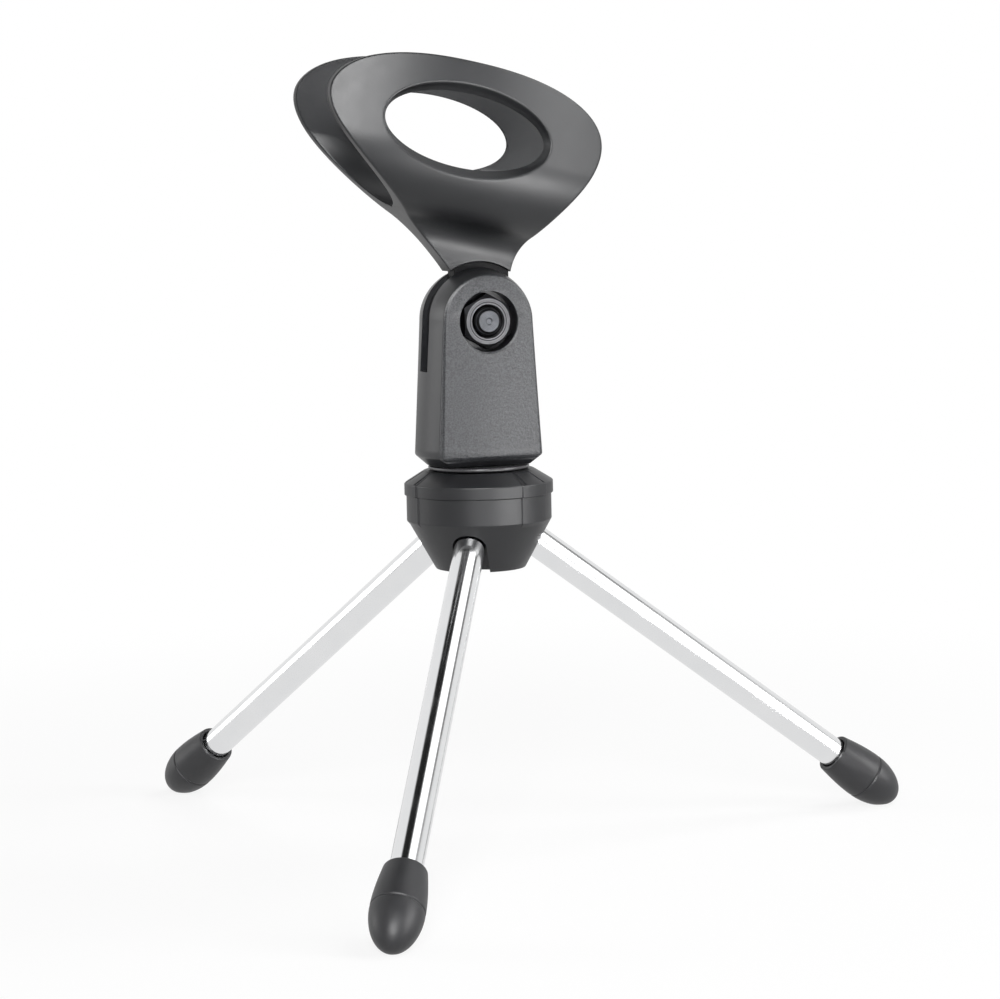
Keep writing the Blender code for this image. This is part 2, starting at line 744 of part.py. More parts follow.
def wing_point(angle):
    """A point of the wing's outline, a superellipse. The angle 0 is the low end, towards +X."""
    cos, sin = math.cos(angle), math.sin(angle)
    power = 2 / WING_SQUARENESS
    along = math.copysign(abs(cos) ** power, cos) * WING_HALF_LENGTH
    up = math.copysign(abs(sin) ** power, sin) * WING_HALF_HEIGHT
    return on_wings(along, up)


def wing_tangent(angle):
    """The unit direction along the wing's outline as its angle grows."""
    step = 1e-4
    a, b = np.array(wing_point(angle)), np.array(wing_point(angle + step))
    return (b - a) / np.linalg.norm(b - a)


def clip_outline():
    """Over the wings along their ellipse, then down each flank along a curve to the neck."""
    top = [wing_point(a) for a in np.linspace(FRONT_LEAVES, BACK_LEAVES, WING_STEPS + 1).tolist()]
    back_foot = np.array((-NECK_BACK, NECK_RISE))
    front_foot = np.array((NECK_FRONT, NECK_RISE))
    back_pull = wing_tangent(BACK_LEAVES) * BACK_HANDLES[0]
    front_pull = wing_tangent(FRONT_LEAVES) * FRONT_HANDLES[0]
    back_lean = np.array((-math.sin(BACK_FLARE), math.cos(BACK_FLARE))) * BACK_HANDLES[1]
    front_lean = np.array((math.sin(FRONT_FLARE), math.cos(FRONT_FLARE))) * FRONT_HANDLES[1]
    back = bezier(top[-1], np.array(top[-1]) + back_pull, back_foot + back_lean, back_foot, FLANK_STEPS)
    front = bezier(front_foot, front_foot + front_lean, np.array(top[0]) - front_pull, top[0], FLANK_STEPS)
    return top + back + [tuple(front_foot.tolist())] + front[:-1]


def cradle_section():
    """The U of the two wings and the cradle, with a fillet down to the neck. The pair is (y, height)."""
    outer, inner = CRADLE_RADIUS + CLIP_WALL / 2, CRADLE_RADIUS - CLIP_WALL / 2
    neck = NECK_THICKNESS / 2
    above = 2 * WING_HALF_HEIGHT
    below = WING_HEIGHT
    lean_x, lean_z = math.sin(WING_LEAN), math.cos(WING_LEAN)

    def wing_tip(radius):
        start = (radius * lean_z, radius * lean_x)
        return (start[0] - above * lean_x, start[1] + above * lean_z)

    fillet_x = neck + NECK_FILLET
    fillet_z = -math.sqrt((outer + NECK_FILLET) ** 2 - fillet_x**2)
    meet = math.atan2(-fillet_z, -fillet_x)
    half = [wing_tip(inner), wing_tip(outer)]
    half += arc(outer, WING_LEAN, meet - math.pi, CRADLE_STEPS)
    half += arc(NECK_FILLET, meet, math.pi, FILLET_STEPS + 1, (fillet_x, fillet_z))[1:]
    half += [(neck, -below)]
    hollow = arc(inner, -math.pi / 2, WING_LEAN, CRADLE_STEPS + 1)
    right = half
    left = [(-y, z) for y, z in reversed(half)]
    bottom = [(-y, z) for y, z in reversed(hollow)]
    return right + left + bottom + hollow[1:]


def window_ring(side, depth):
    """The window's oval at a depth from the middle of the wall. Its points follow the wall, which is flat up
    the wing and round in the cradle below it."""
    share = 0.5 - depth / CLIP_WALL
    length = WINDOW_HALF_LENGTH - WINDOW_END_BEVEL * share
    height = WINDOW_HALF_HEIGHT - WINDOW_SIDE_BEVEL * share
    centre = (CRADLE_DROP - CRADLE_RADIUS * math.sin(WING_LEAN)) / math.cos(WING_LEAN)
    reach = CRADLE_RADIUS + depth
    ring = []
    for angle in np.linspace(0, 2 * math.pi, WINDOW_STEPS + 1)[:-1].tolist():
        climb = centre + height * math.sin(angle)
        turn = WING_LEAN + min(climb, 0.0) / CRADLE_RADIUS
        flat = max(climb, 0.0)
        y = reach * math.cos(turn) - flat * math.sin(WING_LEAN)
        up = reach * math.sin(turn) + flat * math.cos(WING_LEAN) - CRADLE_DROP - WINDOW_DROP
        x, z = on_wings(WINDOW_SHIFT + length * math.cos(angle), up)
        ring.append((x, side * y, z))
    return ring


def window_cutter(name, side):
    """A loft between the window's ovals inside and outside the wall, closed by a fan at each end."""
    reach = CLIP_WALL / 2 + CUT_PAST
    rings = [window_ring(side, -reach), window_ring(side, reach)]
    count = WINDOW_STEPS
    verts = rings[0] + rings[1] + [tuple(np.mean(ring, axis=0).tolist()) for ring in rings]
    faces = []
    for i in range(count):
        j = (i + 1) % count
        faces += [(i, j, count + j, count + i), (j, i, 2 * count), (count + i, count + j, 2 * count + 1)]
    return add_object(name, mesh_of(name, verts, faces), TILT)


def mic_clip():
    outline = prism("mic_clip", clip_outline(), 4 * CRADLE_RADIUS, TILT, CLIP_PLASTIC)
    outline.rotation_euler = (math.pi / 2, 0, 0)
    smooth(outline)

    channel = prism("cradle_channel", cradle_section(), 4 * WING_HALF_LENGTH, TILT)
    along = Vector((math.cos(WING_TILT), 0.0, -math.sin(WING_TILT)))
    up = Vector((math.sin(WING_TILT), 0.0, math.cos(WING_TILT)))
    middle = on_wings(0.0, -WINDOW_DROP - CRADLE_DROP)
    frame = Matrix((Vector((0, 1, 0)), up, along)).transposed().to_4x4()
    channel.matrix_local = Matrix.Translation((middle[0], 0.0, middle[1])) @ frame
    combine(outline, channel, "INTERSECT")

    for name, side in (("nut_side_window", -1), ("head_side_window", 1)):
        combine(outline, window_cutter(name, side), "DIFFERENCE")

    head_space = rod("head_space", NECK_ARC, -CRADLE_RADIUS, CRADLE_RADIUS, FINE_STEPS * 2, "Y", TILT)
    combine(outline, head_space, "DIFFERENCE")

    root = NECK_ARC + TONGUE_ROOT
    side = min(NECK_FRONT, NECK_BACK) - GAP
    shoulder = math.acos(side / TONGUE_RADIUS)
    disc = arc(TONGUE_RADIUS, math.pi - shoulder, 2 * math.pi + shoulder, ROUND_STEPS + 1)
    tongue = prism("clip_tongue", [(side, root), (-side, root)] + disc, TONGUE_THICKNESS, TILT)
    tongue.rotation_euler = (math.pi / 2, 0, 0)
    combine(outline, tongue, "UNION")
    hole = rod(
        "tongue_hole",
        BOLT_RADIUS + BOLT_HOLE_CLEARANCE,
        -TONGUE_THICKNESS,
        TONGUE_THICKNESS,
        SMALL_STEPS,
        "Y",
        TILT,
    )
    combine(outline, hole, "DIFFERENCE")
    return outline


# Assembly

BASE = empty("base_axis", (HUB_X, 0, 0))
SWIVEL = empty("swivel_axis", (0, 0, 0), parent=BASE)
TILT = empty("tilt_axis", (0, 0, PIVOT_Z), parent=SWIVEL)
TABLE = box("table_plane", (-1.0, -1.0, -1.0), (1.0, 1.0, 0.0))
PINS, LEGS = {}, {}
for leg_name, leg_degrees in LEG_NAMES.items():
    turn = math.radians(leg_degrees)
    at = (PIN_OFFSET * math.cos(turn), PIN_OFFSET * math.sin(turn), PIN_Z)
    PINS[leg_name] = empty(f"pin_axis_{leg_name}", at, (0, 0, turn), BASE)
    LEGS[leg_name] = empty(f"leg_axis_{leg_name}", (0, 0, 0), (0, -LEG_SPREAD, 0), PINS[leg_name])
WEDGES = corner_wedges()

hub_body()
hub_cap()
thread_stud()
hub_screw()
for leg_name, leg_empty in LEGS.items():
    leg_pin(leg_name)
    leg_tube(leg_name, leg_empty)
    leg_foot(leg_name, leg_empty)
clevis()
pivot_nut()
pivot_bolt()
mic_clip()
bpy.context.view_layer.update()
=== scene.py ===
"""Looks of the desktop microphone stand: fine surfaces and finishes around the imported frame.

Sizes are in millimetres until a surface is placed, and metres after that. Places come from the frame.
"""

import json
import math

import bmesh
import bpy
import numpy as np
from mathutils import Matrix, Vector


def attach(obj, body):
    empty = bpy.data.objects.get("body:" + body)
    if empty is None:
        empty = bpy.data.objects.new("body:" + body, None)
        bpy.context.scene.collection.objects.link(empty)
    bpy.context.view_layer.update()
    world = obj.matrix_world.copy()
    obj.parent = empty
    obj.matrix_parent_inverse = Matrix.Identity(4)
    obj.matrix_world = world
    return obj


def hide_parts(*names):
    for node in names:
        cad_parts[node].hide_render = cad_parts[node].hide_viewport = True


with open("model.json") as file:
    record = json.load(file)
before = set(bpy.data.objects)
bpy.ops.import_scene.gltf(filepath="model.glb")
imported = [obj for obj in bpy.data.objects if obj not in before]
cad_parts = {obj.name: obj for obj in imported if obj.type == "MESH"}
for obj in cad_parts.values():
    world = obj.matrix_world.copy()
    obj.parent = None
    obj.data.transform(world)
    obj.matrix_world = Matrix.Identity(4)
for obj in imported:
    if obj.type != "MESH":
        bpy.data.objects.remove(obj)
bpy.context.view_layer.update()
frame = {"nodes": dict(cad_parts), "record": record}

MM = 0.001
GAP = 0.3

# Legs and feet
LEG_NAMES = ("right", "rear", "front")
LEG_SPREAD = math.radians(53.2)
LEG_REACH = 101.0
LEG_RADIUS = 3.25
LEG_WALL = 0.8
FOOT_RADIUS = 5.3
FOOT_TIP = 9.2
FOOT_SKIRT = 9.5
FOOT_COLLAR_RADIUS = 4.3
FOOT_BORE_DEPTH = 13.0
FOOT_LINE = 0.22  # depth of the mould line at the widest ring
FOOT_LINE_WIDTH = 0.2
FOOT_LIP = 0.35  # rounding of the collar's edge
FOOT_FIT = 0.2  # play between the tube and the foot's bore

# Hub
PIN_HEIGHT = 8.2
HUB_UNDER_RADIUS = 9.4
HUB_RADIUS = 15.1
HUB_TAPER = 10.3
BODY_WALL = 5.4
CAP_WALL = 2.25
CAP_CHAMFER = 2.45
CAP_TOP_RADIUS = 11.6
CAP_OVERHANG = 0.4
CORNER_RAISE = 0.25
CORNER_SPAN = math.radians(28.0)
CORNER_RAMP = math.radians(0.9)
HUB_EDGE = 0.35
SEAM_EDGE = 0.12
SEAM = 0.04  # the cap sits on the body with only a hair line between them
CORNER_FADE = 0.8  # below the wall, the corner panels run out into the taper
SLOT_RADIUS = 3.6
SCREW_HOLE = 1.8
SCREW_RECESS = 3.2
SCREW_RECESS_RADIUS = 3.05
GROOVE_WIDTH = 0.75  # the thin line across the cap's chamfer at each corner
GROOVE_DEPTH = 0.6

# Stud
STUD_RADIUS = 4.76
THREAD_PITCH = 1.5875
THREAD_DEPTH = 0.8
THREAD_TURNS = 7
STUD_LEAD = 0.8
FLANGE_RADIUS = 10.6
FLANGE_HEIGHT = 0.7
FLANGE_ROUND = 0.3
SPIGOT_RADIUS = 3.9
SPIGOT_LENGTH = 2.2

# Clevis
CLEVIS_CHAMFER = 2.2
CLEVIS_LENGTH = 27.8
CLEVIS_FOOT_WIDTH = 13.0
CLEVIS_FOOT_DEPTH = 9.05
CLEVIS_FOOT_BULGE = 2.2
CLEVIS_HEAD_RADIUS = 11.05
CLEVIS_HEAD_DEPTH = 8.5
CLEVIS_HEAD_BULGE = 1.5
CLEVIS_EDGE = 0.45
CLEVIS_LIP = ((0.12, 0.3), (0.45, 0.6), (CLEVIS_CHAMFER, CLEVIS_CHAMFER))  # inset and drop below the sides
CLEVIS_GRAIN = 0.05
CLEVIS_CROWN = 0.0050  # fall of the flats in millimetres for each square millimetre off their middle
SLOT_FLOOR = 10.4
TONGUE_THICKNESS = 4.0
BOLT_RADIUS = 3.0
BOLT_CLEARANCE = 0.25
NUT_CLEARANCE = 0.1
HEX_ACROSS = 10.0
HEX_CHAMFER = math.radians(30.0)
HEX_FACE = 0.95  # share of the size across at which the chamfer starts
BORE_CHAMFER = 0.45
NUT_HEIGHT = 3.2
BOLT_HEAD_HEIGHT = 3.8
EAR_AT_RECESS = 2.2
NUT_RECESS_RADIUS = 6.3
RECESS_LIP = 0.25  # rounding of its rim
BOLT_PAST_NUT = 0.6
BOLT_CHAMFER = 0.85
BOLT_MARK = (0.55, 0.75)  # radii of the turned centre mark, at its floor and at its rim
BOLT_MARK_DEPTH = 0.12
SHANK_IN_HEAD = 1.0
RECESS_FLOOR = TONGUE_THICKNESS / 2 + GAP + EAR_AT_RECESS
NUT_SEAT = RECESS_FLOOR + GAP

# Clip
WING_TILT = math.radians(12.5)
WING_X = -5.6
WING_HEIGHT = 40.2
WING_HALF_LENGTH = 29.9
WING_HALF_HEIGHT = 13.1
WING_SQUARENESS = 2.3
WINDOW_DROP = 1.0
WINDOW_SHIFT = 0.5
WINDOW_HALF_LENGTH = 18.1
WINDOW_HALF_HEIGHT = 9.4
WINDOW_END_BEVEL = 0.9
WINDOW_SIDE_BEVEL = 1.9
CRADLE_RADIUS = 13.1
CRADLE_DROP = 5.5
CLIP_WALL = 2.5
CLIP_EDGE = 0.45
INNER_EDGE_START = 0.2  # height over the cradle's lowest line at which the inner edge's rounding begins
INNER_EDGE_RUN = 2.0
CLIP_GRAIN = 0.011
NECK_GRAIN = 7.0  # what the neck's grain gains over the wings', as a multiple
NECK_GRAIN_FROM = -23.0  # height over the cradle's centre below which the neck is fully grained
NECK_GRAIN_FADE = 4.0
FACE_BLEND = 0.6  # half the band in which the outer faces' finish turns into the inner faces'
CLIP_SHARP = 50.0  # degrees
WING_CAMBER = 0.0060  # fall in millimetres for each square millimetre along the wing
WING_LEAN = math.radians(8.3)
NECK_THICKNESS = 5.7
NECK_FILLET = 6.0
NECK_CLEARANCE = 1.0
NECK_FRONT = 6.85
NECK_BACK = 5.3
NECK_RISE = 8.9
FRONT_LEAVES = math.radians(4.0)
BACK_LEAVES = math.radians(166.0)
FRONT_HANDLES = (8.5, 10.1)
BACK_HANDLES = (11.0, 18.3)
FRONT_FLARE = math.radians(8.0)
BACK_FLARE = math.radians(32.0)
TONGUE_RADIUS = 9.9
TONGUE_ROOT = 4.0
SHOULDER_INSET = 0.1

# Places, from the frame
JOINTS = {joint["name"]: joint for joint in frame["record"]["behaviour"]["joints"]}
PIVOT = np.array(JOINTS["clip_tilt"]["pos_m"]) / MM
HUB_X, PIVOT_Z = PIVOT[0], PIVOT[2]
PINS = {name: np.array(JOINTS[f"leg_fold_{name}"]["pos_m"]) / MM for name in LEG_NAMES}
PIN_Z = PINS["front"][2]
UNDER_Z = PIN_Z - PIN_HEIGHT
WALL_Z = UNDER_Z + HUB_TAPER
BODY_TOP_Z = WALL_Z + BODY_WALL
CAP_UNDER_Z = BODY_TOP_Z + GAP
CAP_TOP_Z = CAP_UNDER_Z + CAP_WALL + CAP_CHAMFER
FLANGE_Z = CAP_TOP_Z + GAP
THREAD_Z = FLANGE_Z + FLANGE_HEIGHT
LIP_Z = PIVOT_Z - CLEVIS_LENGTH
CLEVIS_UNDER_Z = LIP_Z - CLEVIS_CHAMFER
HUB_AXIS = np.array((HUB_X, 0.0, 0.0))
UPRIGHT = np.eye(3)
TOWARDS_NUT = np.array(((1.0, 0.0, 0.0), (0.0, 0.0, 1.0), (0.0, -1.0, 0.0)))
TOWARDS_HEAD = np.array(((1.0, 0.0, 0.0), (0.0, 0.0, -1.0), (0.0, 1.0, 0.0)))

WELD = 2e-6  # metres
ROUND_STEPS = 96  # points round a small turned piece
BOLT_STEPS, BODY_STEPS, CAP_STEPS = 128, 720, 1080
SIDE_STEPS = 20  # rows up each side of the clevis
HEAD_STEPS = 96  # rows round its head
ACROSS_POINTS = 25  # points across a row
EDGE_STEPS = 5
OUTLINE_STEP = 0.45  # millimetres between the points of the clip's outline
DRAWN_POINTS = 400  # points of a curve before they are spaced evenly
SHEET_SHARES = np.concatenate([[0.0, 0.02], np.linspace(0.06, 0.94, 22), [0.98, 1.0]])


# Surfaces


def placed(points, origin, axes):
    """Points in millimetres on the three axes (rows of a matrix), from an origin."""
    return points @ axes + origin


def grid_faces(rows, cols, start, wrap_rows, wrap_cols):
    """Quads over a grid of points: each joins a point to the next one along both of its parameters."""
    i = np.arange(rows if wrap_rows else rows - 1)[:, None]
    j = np.arange(cols if wrap_cols else cols - 1)[None, :]
    i2, j2 = (i + 1) % rows, (j + 1) % cols
    quads = np.stack([i * cols + j, i * cols + j2, i2 * cols + j2, i2 * cols + j], axis=-1)
    return quads.reshape(-1, 4) + start


def surface(name, grids, sharp=35.0):
    """One closed mesh out of grids of points. A grid is (points, wrap_rows, wrap_cols). Seams and poles are
    welded, the faces are turned outwards, and edges sharper than the angle stay sharp."""
    verts, faces, start = [], [], 0
    for points, wrap_rows, wrap_cols in grids:
        rows, cols = points.shape[:2]
        verts.append(points.reshape(-1, 3))
        faces.append(grid_faces(rows, cols, start, wrap_rows, wrap_cols))
        start += rows * cols
    verts = np.concatenate(verts) * MM
    faces = np.concatenate(faces)
    mesh = bpy.data.meshes.new(name)
    mesh.from_pydata(verts.tolist(), [], faces.tolist())
    shell = bmesh.new()
    shell.from_mesh(mesh)
    bmesh.ops.remove_doubles(shell, verts=shell.verts, dist=WELD)
    bmesh.ops.dissolve_degenerate(shell, edges=shell.edges, dist=WELD / 10)
    bmesh.ops.recalc_face_normals(shell, faces=shell.faces)
    shell.to_mesh(mesh)
    shell.free()
    mesh.shade_smooth()
    mesh.set_sharp_from_angle(angle=math.radians(sharp))
    obj = bpy.data.objects.new(name, mesh)
    bpy.context.scene.collection.objects.link(obj)
    return obj


def arc(radius, start, end, count, centre=(0.0, 0.0)):
    """Points on a circle: the centre plus the radius times the cosine and the sine."""
    angles = np.linspace(start, end, count)
    return np.stack([centre[0] + radius * np.cos(angles), centre[1] + radius * np.sin(angles)], axis=1)


def rounded(profile, radii, steps=5):
    """A polyline whose inner corners are rounded by parabolas of about these radii, or less where its legs are
    short. One radius does for all corners."""
    profile = np.asarray(profile, dtype=float)
    radii = np.broadcast_to(radii, len(profile) - 2)
    parts = [profile[:1]]
    for before, corner, after, radius in zip(profile[:-2], profile[1:-1], profile[2:], radii):
        back, ahead = before - corner, after - corner
        long_back, long_ahead = np.linalg.norm(back), np.linalg.norm(ahead)
        back, ahead = back / long_back, ahead / long_ahead
        half = math.acos(float(np.clip(back @ ahead, -1.0, 1.0))) / 2
        reach = min(radius / math.tan(half), 0.45 * min(long_back, long_ahead))
        t = np.linspace(0.0, 1.0, steps + 1)[:, None]
        start, end = corner + back * reach, corner + ahead * reach
        parts.append((1 - t) ** 2 * start + 2 * t * (1 - t) * corner + t**2 * end)
    parts.append(profile[-1:])
    return np.concatenate(parts)


def supported(profile, near=0.15):
    """The profile with a point close to each end of its long straights, which keeps their shading flat."""
    steps = np.linalg.norm(np.diff(profile, axis=0), axis=1)
    parts = [profile[:1]]
    for a, b, length in zip(profile[:-1], profile[1:], steps):
        if length > 4 * near:
            share = near / length
            parts.append(np.stack([a + (b - a) * share, b - (b - a) * share]))
        parts.append(b[None])
    return np.concatenate(parts)


def revolved(profile, steps, origin, axes, swell=None):
    """A profile of (radius, height) spun about an axis. swell(angle, radius, height) adds to the radius."""
    angles = np.linspace(0.0, 2 * math.pi, steps, endpoint=False)
    radius, height = profile[:, :1], profile[:, 1:]
    reach = radius + (swell(angles[None, :], radius, height) if swell else 0.0)
    points = np.stack(
        [reach * np.cos(angles), reach * np.sin(angles), height + 0.0 * angles[None, :]], axis=-1
    )
    return placed(points, origin, axes)


def lathe(name, profile, steps, origin, axes, swell=None, sharp=35.0):
    """A closed turned piece. A profile that starts off the axis is joined end to end."""
    closed = profile[0, 0] > 0
    return surface(name, [(revolved(profile, steps, origin, axes, swell), closed, True)], sharp)


def rod(radius, low, high):
    """The profile of a plain cylinder."""
    return np.array([(0.0, high), (radius, high), (radius, low), (0.0, low)])


def block(name, low, high):
    """A plain block between two corners, as a square carried up between two poles."""
    low, high = np.array(low), np.array(high)
    middle = (low + high) / 2
    ring = np.array([(low[0], low[1]), (high[0], low[1]), (high[0], high[1]), (low[0], high[1])])
    level = lambda z: np.column_stack([ring, np.full(4, z)])
    pole = lambda z: np.tile((middle[0], middle[1], z), (4, 1))
    rows = np.stack([pole(low[2]), level(low[2]), level(high[2]), pole(high[2])])
    return surface(name, [(rows, False, True)])


def carve(target, cutters, sharp=35.0):
    """Cuts closed surfaces out of a piece and removes them."""
    for cutter in cutters:
        step = target.modifiers.new("cut", "BOOLEAN")
        step.operation = "DIFFERENCE"
        step.solver = "EXACT"
        step.object = cutter
    graph = bpy.context.evaluated_depsgraph_get()
    mesh = bpy.data.meshes.new_from_object(target.evaluated_get(graph))
    target.modifiers.clear()
    target.data = mesh
    for cutter in cutters:
        bpy.data.objects.remove(cutter, do_unlink=True)
    mesh.shade_smooth()
    mesh.set_sharp_from_angle(angle=math.radians(sharp))
    return target


# Hub, stud and legs


def corner_mask(angles):
    """One at the middle of the three corner panels, between the legs, and nought elsewhere."""
    off = np.abs((angles + math.radians(60.0)) % math.radians(120.0) - math.radians(60.0))
    return np.clip((CORNER_SPAN / 2 + CORNER_RAMP / 2 - (math.radians(60.0) - off)) / CORNER_RAMP, 0.0, 1.0)


def leg_axes(name):
    """Rows: outward along the floor side, across, and up the leg from the foot to the pin."""
    across = np.array(JOINTS[f"leg_fold_{name}"]["axis"])
    outward = np.cross(across, (0.0, 0.0, 1.0))
    up = math.cos(LEG_SPREAD) * np.array((0.0, 0.0, 1.0)) - math.sin(LEG_SPREAD) * outward
    return np.stack([np.cross(across, up), across, up])


def dome(radius, count=14):
    """From the pole on the axis down to the equator."""
    points = arc(radius, math.pi / 2, 0.0, count)
    points[0, 0] = 0.0
    return points


def leg_slots():
    """The space that each leg sweeps: a round-ended bore along the leg, and a wedge from there down to the
    vertical, which is a flat outline carried from one side of the bore to the other."""
    reach = LEG_REACH / 2
    cutters = []
    for name, pin in PINS.items():
        bore = np.concatenate([dome(SLOT_RADIUS, 20), [(SLOT_RADIUS, -reach), (0.0, -reach)]])
        cutters.append(lathe(f"cut_bore_{name}", bore, ROUND_STEPS, pin, leg_axes(name)))
        across = np.array(JOINTS[f"leg_fold_{name}"]["axis"])
        outward = np.cross(across, (0.0, 0.0, 1.0))
        x, z = math.sin(LEG_SPREAD) * reach, -math.cos(LEG_SPREAD) * reach
        side = np.array([(0.0, 0.0), (-SLOT_RADIUS, 0.0), (-SLOT_RADIUS, z), (x, z)])
        pole = np.tile(side.mean(axis=0), (4, 1))
        layers = [(pole, -SLOT_RADIUS), (side, -SLOT_RADIUS), (side, SLOT_RADIUS), (pole, SLOT_RADIUS)]
        rows = [np.stack([flat[:, 0], np.full(len(flat), y), flat[:, 1]], axis=1) for flat, y in layers]
        axes = np.stack([outward, across, np.array((0.0, 0.0, 1.0))])
        cutters.append(surface(f"cut_sweep_{name}", [(placed(np.stack(rows), pin, axes), False, True)]))
    return cutters


def make_hub_body():
    """A turned wall with a taper below it. The radius grows by the corner panels' height on the wall, which runs
    out into the taper. The leg slots are cut out of it."""
    hole, recess, ceiling = SCREW_HOLE, SCREW_RECESS_RADIUS, UNDER_Z + SCREW_RECESS
    faded = HUB_RADIUS - (HUB_RADIUS - HUB_UNDER_RADIUS) * CORNER_FADE / HUB_TAPER
    outer = rounded(
        [
            (hole, BODY_TOP_Z),
            (HUB_RADIUS, BODY_TOP_Z),
            (HUB_RADIUS, WALL_Z),
            (faded, WALL_Z - CORNER_FADE),
            (HUB_UNDER_RADIUS, UNDER_Z),
            (recess, UNDER_Z),
            (recess, ceiling),
            (hole, ceiling),
        ],
        (SEAM_EDGE, HUB_EDGE, SEAM_EDGE, HUB_EDGE, SEAM_EDGE, SEAM_EDGE),
    )

    def swell(angles, radius, height):
        climb = np.clip((height - WALL_Z + CORNER_FADE) / CORNER_FADE, 0.0, 1.0)
        on_wall = np.clip((radius - HUB_UNDER_RADIUS) / (HUB_RADIUS - HUB_UNDER_RADIUS), 0.0, 1.0)
        return CORNER_RAISE * corner_mask(angles) * climb * on_wall

    body = lathe("body_shell", supported(outer), BODY_STEPS, HUB_AXIS, UPRIGHT, swell)
    return carve(body, leg_slots(), 28.0)


def make_hub_cap():
    """A turned ring with a chamfer. The radius grows by the corner panels' height times the root of the share
    down the chamfer, and on the chamfer it falls by a narrow notch beside each panel."""
    rim, hole = HUB_RADIUS + CAP_OVERHANG, SPIGOT_RADIUS + GAP
    wall_top = CAP_UNDER_Z + CAP_WALL
    profile = rounded(
        [
            (hole, CAP_TOP_Z),
            (CAP_TOP_RADIUS, CAP_TOP_Z),
            (rim, wall_top),
            (rim, BODY_TOP_Z + SEAM),
            (hole, BODY_TOP_Z + SEAM),
        ],
        (HUB_EDGE, HUB_EDGE, SEAM_EDGE),
    )
    chamfer = np.linspace(0.05, 0.95, 18)[:, None]
    profile = supported(profile)
    start = int(np.argmax((profile[:, 0] > CAP_TOP_RADIUS + 0.3) & (profile[:, 1] < CAP_TOP_Z)))
    a, b = profile[start], profile[start + 1]
    profile = np.concatenate([profile[: start + 1], a + (b - a) * chamfer, profile[start + 1 :]])

    def swell(angles, radius, height):
        climb = np.clip((radius - CAP_TOP_RADIUS) / (rim - CAP_TOP_RADIUS), 0.0, 1.0)
        raised = CORNER_RAISE * corner_mask(angles) * np.sqrt(climb)
        off = np.abs((angles + math.radians(60.0)) % math.radians(120.0) - math.radians(60.0))
        past = (math.radians(60.0) - off - CORNER_SPAN / 2) * radius
        line = np.clip(1.0 - np.abs(past + GROOVE_WIDTH) / (GROOVE_WIDTH / 2), 0.0, 1.0)
        on_chamfer = (height < CAP_TOP_Z - 0.1) & (height > wall_top + 0.1)
        return raised - GROOVE_DEPTH * line * on_chamfer

    return lathe("cap_shell", profile, CAP_STEPS, HUB_AXIS, UPRIGHT, swell, 28.0)


def make_stud():
    """The flange, the spigot below it and the thread above, one crest and one root to a turn."""
    root = STUD_RADIUS - THREAD_DEPTH
    flat = THREAD_PITCH / 4
    top = THREAD_Z + THREAD_TURNS * THREAD_PITCH + STUD_LEAD
    turns = THREAD_Z + np.arange(THREAD_TURNS, 0, -1)[:, None] * THREAD_PITCH - flat / 2
    height = (turns - flat * np.arange(4)).reshape(-1)[:-1]
    radius = np.tile((STUD_RADIUS, STUD_RADIUS, root, root), THREAD_TURNS)[:-1]
    low = FLANGE_Z - SPIGOT_LENGTH
    flange = [(root, THREAD_Z), (FLANGE_RADIUS, THREAD_Z), (FLANGE_RADIUS, FLANGE_Z), (SPIGOT_RADIUS, FLANGE_Z)]
    thread = np.stack([radius, height], axis=1)
    spigot = [(SPIGOT_RADIUS, low), (0.0, low)]
    profile = np.concatenate([[(0.0, top), (root, top)], thread, rounded(flange, FLANGE_ROUND), spigot])
    return lathe("stud_shell", profile, 2 * ROUND_STEPS, HUB_AXIS, UPRIGHT)


def make_tube(name):
    """A thin round-ended tube, open at the foot: a quarter circle and a straight run outside, and the same a
    wall's thickness further in."""
    length = LEG_REACH - FOOT_SKIRT + FOOT_BORE_DEPTH - GAP
    inner = LEG_RADIUS - LEG_WALL
    shaft = np.linspace(0.0, -length, 24)[1:]
    outside = np.stack([np.full(len(shaft), LEG_RADIUS), shaft], axis=1)
    inside = np.concatenate([[(inner, -length)], dome(inner)[::-1]])
    profile = np.concatenate([dome(LEG_RADIUS), outside, inside])
    return lathe(f"chrome_tube_{name}", profile, ROUND_STEPS, PINS[name], leg_axes(name))


def make_foot(name):
    """A skirt whose radius grows with the sine down to its widest ring, a mould line there, an elliptical tip,
    and a flat where the table stops it."""
    bore, floor = LEG_RADIUS + FOOT_FIT, FOOT_SKIRT - FOOT_BORE_DEPTH
    quarter = np.linspace(0.0, math.pi / 2, 40)
    close = np.linspace(0.0, 0.06, 7)[:-1]
    down = np.concatenate([quarter[:-2], math.pi / 2 - close[::-1]])
    on = np.concatenate([close, quarter[2:]])
    skirt = np.stack(
        [
            FOOT_COLLAR_RADIUS + (FOOT_RADIUS - FOOT_COLLAR_RADIUS) * np.sin(down),
            FOOT_SKIRT * (1 - down * 2 / math.pi),
        ],
        axis=1,
    )[:-1]
    tip = np.stack([FOOT_RADIUS * np.cos(on), -FOOT_TIP * np.sin(on)], axis=1)
    outside = np.concatenate([skirt, tip])
    outside[:, 0] -= FOOT_LINE * np.exp(-((outside[:, 1] / FOOT_LINE_WIDTH) ** 2))
    outside[-1, 0] = 0.0
    rim = [(bore, floor), (bore, FOOT_SKIRT), (FOOT_COLLAR_RADIUS, FOOT_SKIRT), tuple(outside[2])]
    collar = rounded(rim, FOOT_LIP)
    profile = np.concatenate([[(0.0, floor)], collar, outside[3:]])
    profile[:, 1] -= LEG_REACH
    points = revolved(profile, ROUND_STEPS, PINS[name], leg_axes(name))
    points[..., 2] = np.maximum(points[..., 2], 0.0)
    return surface(f"rubber_foot_{name}", [(points, False, True)])


